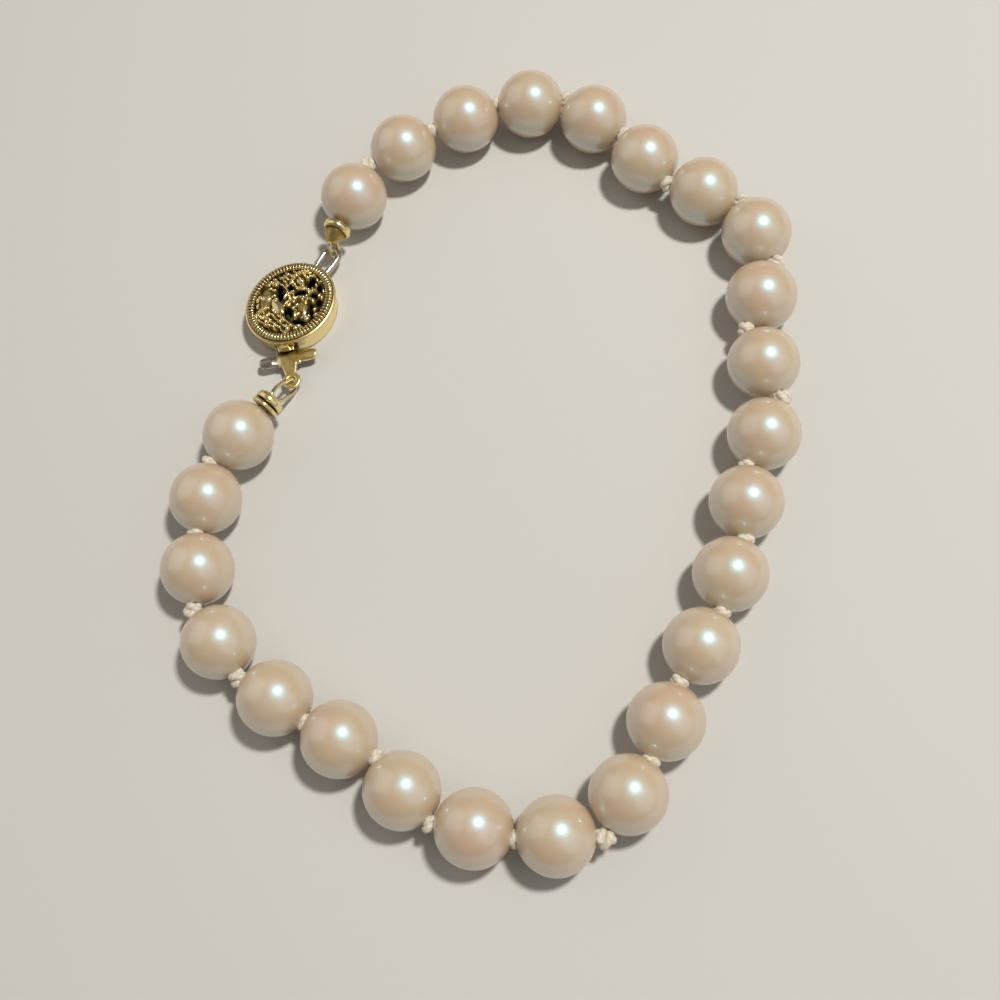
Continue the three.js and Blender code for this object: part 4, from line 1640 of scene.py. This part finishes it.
@dataclass
class BeadTip:
    """Cup that hides the end of the silk, and the hook of wire that holds the clasp."""

    name: str
    node: str
    profile: tuple[tuple[float, float, float], ...]
    diameter: float
    face: np.ndarray
    axis: np.ndarray
    held: np.ndarray
    held_wire: float
    roll: float
    length: float
    opening: float
    bore: float = 0.42
    bore_depth: float = 1.0
    wire: float = 0.36
    link_clearance: float = 0.3
    sides: int = 96
    wire_sides: int = 14
    row_steps: int = 8

    def cup(self, surface: Surface) -> None:
        """Adds the cup: a smooth profile turned round the silk, and its bore.

        Each row of the profile is a share of the radius, a share of the length and a polish, which also
        carries painted light.

        Args:
            surface: Surface that takes it.
        """
        rows = np.array(self.profile)
        wide, far, polish_and_painted_light = rows.T
        fine = np.linspace(0, len(rows) - 1, self.row_steps * len(rows))
        wide, far, polish_and_painted_light = (smooth_rows(channel, fine) for channel in (wide, far, polish_and_painted_light))
        radius = np.concatenate([[0.001, self.bore, self.bore], wide * self.diameter / 2, [0.001]])
        along = np.concatenate([[self.bore_depth, self.bore_depth, 0.0], far * self.length, [self.length]])
        # Low polish in the bore: painted shade.
        polish_and_painted_light = np.concatenate([[0.1, 0.1, 0.3], polish_and_painted_light, [0.5]])
        side = np.cross(UP, self.axis)
        angle = np.linspace(0, 2 * math.pi, self.sides, endpoint=False)
        across = np.cos(angle)[:, None] * UP + np.sin(angle)[:, None] * side
        points = self.face + radius[:, None, None] * across + along[:, None, None] * self.axis
        surface.grid(points, polish_and_painted_light[:, None], wrap_columns=True, flip=True)

    def hook(self, surface: Surface) -> None:
        """Adds the hook: a wire along a long oval from the cone's tip round the clasp's wire and back.

        Args:
            surface: Surface that takes it.
        """
        root = self.face + self.axis * (self.length - self.wire / 2)
        along = self.held - root
        distance = np.linalg.norm(along)
        along = along / distance
        half_long = (distance + self.held_wire / 2 + self.link_clearance + self.wire / 2) / 2
        upright = np.cross(np.cross(UP, self.axis), along)
        upright /= np.linalg.norm(upright)
        sideways = np.cross(along, upright)
        lean = math.radians(self.roll)
        across = upright * math.cos(lean) + sideways * math.sin(lean)
        angle = np.linspace(0, 2 * math.pi, self.sides, endpoint=False)
        half_wide = (self.opening + self.wire) / 2
        middle = root + along * half_long
        path = middle + half_long * fuller(np.cos(angle))[:, None] * along
        path = path + half_wide * fuller(np.sin(angle))[:, None] * across
        tube(surface, path, self.wire / 2, self.wire_sides, closed=True, value=0.85, wear=0.45)

    def build(self, material: bpy.types.Material) -> bpy.types.Object:
        """Builds and dresses the bead tip.

        Args:
            material: The gold finish.

        Returns:
            The new object.
        """
        surface = Surface(self.name)
        self.cup(surface)
        self.hook(surface)
        piece = surface.build(attributes=("polish_and_painted_light", "wear"))
        finish_piece(piece, material, Slot.GOLD, self.node)
        return piece


def smooth_rows(values: np.ndarray, at: np.ndarray) -> np.ndarray:
    """Smooth curve through evenly spaced values: a cubic between each two that keeps the slope at both.

    Args:
        values: The values.
        at: Places where the curve is read, counted in values.

    Returns:
        The curve's value at each place.
    """
    padded = np.concatenate([[2 * values[0] - values[1]], values, [2 * values[-1] - values[-2]]])
    index = np.minimum(at.astype(int), len(values) - 2)
    t = at - index
    a, b, c, d = (padded[index + shift] for shift in range(4))
    curve = 2 * b + (c - a) * t + (2 * a - 5 * b + 4 * c - d) * t**2 + (3 * b - a - 3 * c + d) * t**3
    return curve / 2


# Profiles of the two cups: share of the radius, share of the length and polish. The bright rims are rubbed
# metal and painted highlight; the dark step, groove and cone are painted shade.
UPPER_CUP = (
    (0.8, 0.0, 0.5),
    (0.96, 0.05, 0.95),
    (1.0, 0.16, 1.0),
    (0.98, 0.28, 1.0),
    (0.88, 0.36, 0.6),
    (0.8, 0.42, 0.12),
    (0.76, 0.5, 0.3),
    (0.64, 0.64, 0.4),
    (0.46, 0.82, 0.4),
    (0.32, 0.98, 0.4),
)
LOWER_CUP = (
    (0.88, 0.0, 0.5),
    (0.98, 0.05, 0.95),
    (1.0, 0.14, 1.0),
    (0.96, 0.22, 0.7),
    (0.86, 0.28, 0.05),
    (0.86, 0.35, 0.05),
    (0.95, 0.42, 0.8),
    (0.98, 0.56, 1.0),
    (0.94, 0.75, 0.95),
    (0.66, 0.92, 0.6),
    (0.34, 1.0, 0.4),
)


@dataclass
class BeadTips:
    """The two bead tips, each facing its pearl and hooked on its end of the clasp."""

    string: String
    box: ClaspBox
    tongue: ClaspTongue
    upper_clearance: float = 0.25
    lower_clearance: float = 0.12
    upper_diameter: float = 2.5
    lower_diameter: float = 2.6
    upper_length: float = 1.85
    lower_length: float = 1.35
    upper_opening: float = 0.76
    lower_opening: float = 1.0
    lower_roll: float = -33.0
    lower_heading: float = 84.0

    def build(self, material: bpy.types.Material) -> list[bpy.types.Object]:
        """Builds and dresses both tips.

        Args:
            material: The gold finish.

        Returns:
            The new objects.
        """
        upper_axis, lower_axis = -self.string.axes[0], self.string.axes[-1]
        upper_stand = self.string.radius + self.upper_clearance
        lower_stand = self.string.radius + self.lower_clearance
        eye_wire = (self.tongue.eye_outer - self.tongue.eye_hole) / 2
        hook_way = Place.flat(np.zeros(3), self.lower_heading).axes[0]
        eye_rim = self.tongue.eye_middle() - hook_way * (self.tongue.eye_outer / 2 - eye_wire / 2)
        upper = BeadTip(
            name="upper_cup_and_hook",
            node="bead_tip_upper",
            profile=UPPER_CUP,
            diameter=self.upper_diameter,
            face=self.string.centres[0] + upper_axis * upper_stand,
            axis=upper_axis,
            held=self.box.ring_end(),
            held_wire=self.box.ring_stout,
            roll=0.0,
            length=self.upper_length,
            opening=self.upper_opening,
        )
        lower = BeadTip(
            name="lower_cup_and_hook",
            node="bead_tip_lower",
            profile=LOWER_CUP,
            diameter=self.lower_diameter,
            face=self.string.centres[-1] + lower_axis * lower_stand,
            axis=lower_axis,
            held=eye_rim,
            held_wire=eye_wire,
            roll=self.lower_roll,
            length=self.lower_length,
            opening=self.lower_opening,
        )
        return [upper.build(material), lower.build(material)]


@dataclass(frozen=True)
class Lamp:
    """Square area light that looks at the bracelet; distance and size in mm, power in watts."""

    name: str
    direction: tuple[float, float, float]
    distance: float
    size: float
    power: float
    tone: str

    def build(self) -> None:
        """Adds the light, its way out along its direction."""
        data = bpy.data.lights.new(self.name, "AREA")
        data.size = self.size * MM
        data.energy = self.power
        data.color = linear(self.tone)[:3]
        lamp = bpy.data.objects.new(self.name, data)
        away = Vector(self.direction).normalized()
        turn = away.to_track_quat("Z", "Y").to_matrix().to_4x4()
        lamp.matrix_world = Matrix.Translation(away * self.distance * MM) @ turn
        bpy.context.scene.collection.objects.link(lamp)


# A small hard key almost overhead and two wide soft fills.
LAMPS = (
    Lamp("key", (0.33, 0.14, 0.94), 420, 44, 1.45, "#fffdf8"),
    Lamp("fill_left", (-0.8, 0.3, 0.6), 500, 520, 0.5, "#fff4ea"),
    Lamp("fill_right", (0.9, -0.4, 0.7), 500, 520, 0.4, "#f6f8ff"),
)


@dataclass
class Studio:
    """Floor, lights and camera; the camera stands where the photograph was taken from."""

    focal_px: float = 1200.0
    image_px: int = 1000
    sensor: float = 36.0
    camera_place: tuple[float, float, float] = (9.28, -39.898, 94.2)
    view_back: tuple[float, float, float] = (0.0826, -0.3453, 0.9348)
    view_up: tuple[float, float, float] = (0.0304, 0.9385, 0.344)
    nearest: float = 1.0
    farthest: float = 10000.0
    floor_size: float = 3000.0
    sky: str = "#e6e4e0"
    sky_strength: float = 0.2

    def camera(self) -> None:
        """Sets the camera by its place, its way up and its way back, and its focal length in pixels."""
        data = bpy.data.cameras.new("photo_camera")
        data.sensor_width = self.sensor
        data.sensor_height = self.sensor
        data.sensor_fit = "HORIZONTAL"
        data.lens = self.focal_px / self.image_px * self.sensor
        data.clip_start = self.nearest * MM
        data.clip_end = self.farthest * MM
        camera = bpy.data.objects.new("photo_camera", data)
        back = Vector(self.view_back).normalized()
        right = Vector(self.view_up).cross(back).normalized()
        up = back.cross(right)
        turn = Matrix((right, up, back)).transposed().to_4x4()
        camera.matrix_world = Matrix.Translation(Vector(self.camera_place) * MM) @ turn
        bpy.context.scene.collection.objects.link(camera)
        bpy.context.scene.camera = camera

    def lights(self) -> None:
        """Adds the lamps and a pale sky."""
        for lamp in LAMPS:
            lamp.build()
        world = bpy.data.worlds.new("studio")
        world.use_nodes = True
        inputs = {"Color": linear(self.sky), "Strength": self.sky_strength}
        feed(world.node_tree, world.node_tree.nodes["Background"], inputs)
        bpy.context.scene.world = world

    def floor(self, material: bpy.types.Material) -> None:
        """Lays a flat floor under the bracelet.

        Args:
            material: The floor's finish.
        """
        half = self.floor_size / 2
        span = np.linspace(-half, half, 2)
        x, y = np.meshgrid(span, span, indexing="ij")
        surface = Surface("studio_floor")
        surface.grid(np.stack([x, y, np.full_like(x, CAD_BOX[0][2] / MM)], axis=-1), flip=True)
        floor = surface.build()
        floor.data.materials.append(material)


def main() -> None:
    """Builds the studio and every piece of the bracelet, and reports each one."""
    logging.basicConfig(level=logging.INFO, format="%(name)s: %(message)s")
    scene = bpy.context.scene
    scene.view_settings.view_transform = "Standard"
    studio = Studio()
    studio.camera()
    studio.lights()
    studio.floor(PaleCard().material())
    string = String.from_frame()
    pieces = Pearls(string).build(Nacre().material())
    pieces.append(Silk(string).build(TwistedSilk().material()))
    gold = AntiqueGold().material()
    box = ClaspBox(string)
    tongue = ClaspTongue(box)
    pieces += [box.build(gold), tongue.build(gold), *BeadTips(string, box, tongue).build(gold)]
    for piece in pieces:
        log.info("%s: %d faces", piece.name, len(piece.data.polygons))


if __name__ == "__main__":
    main()
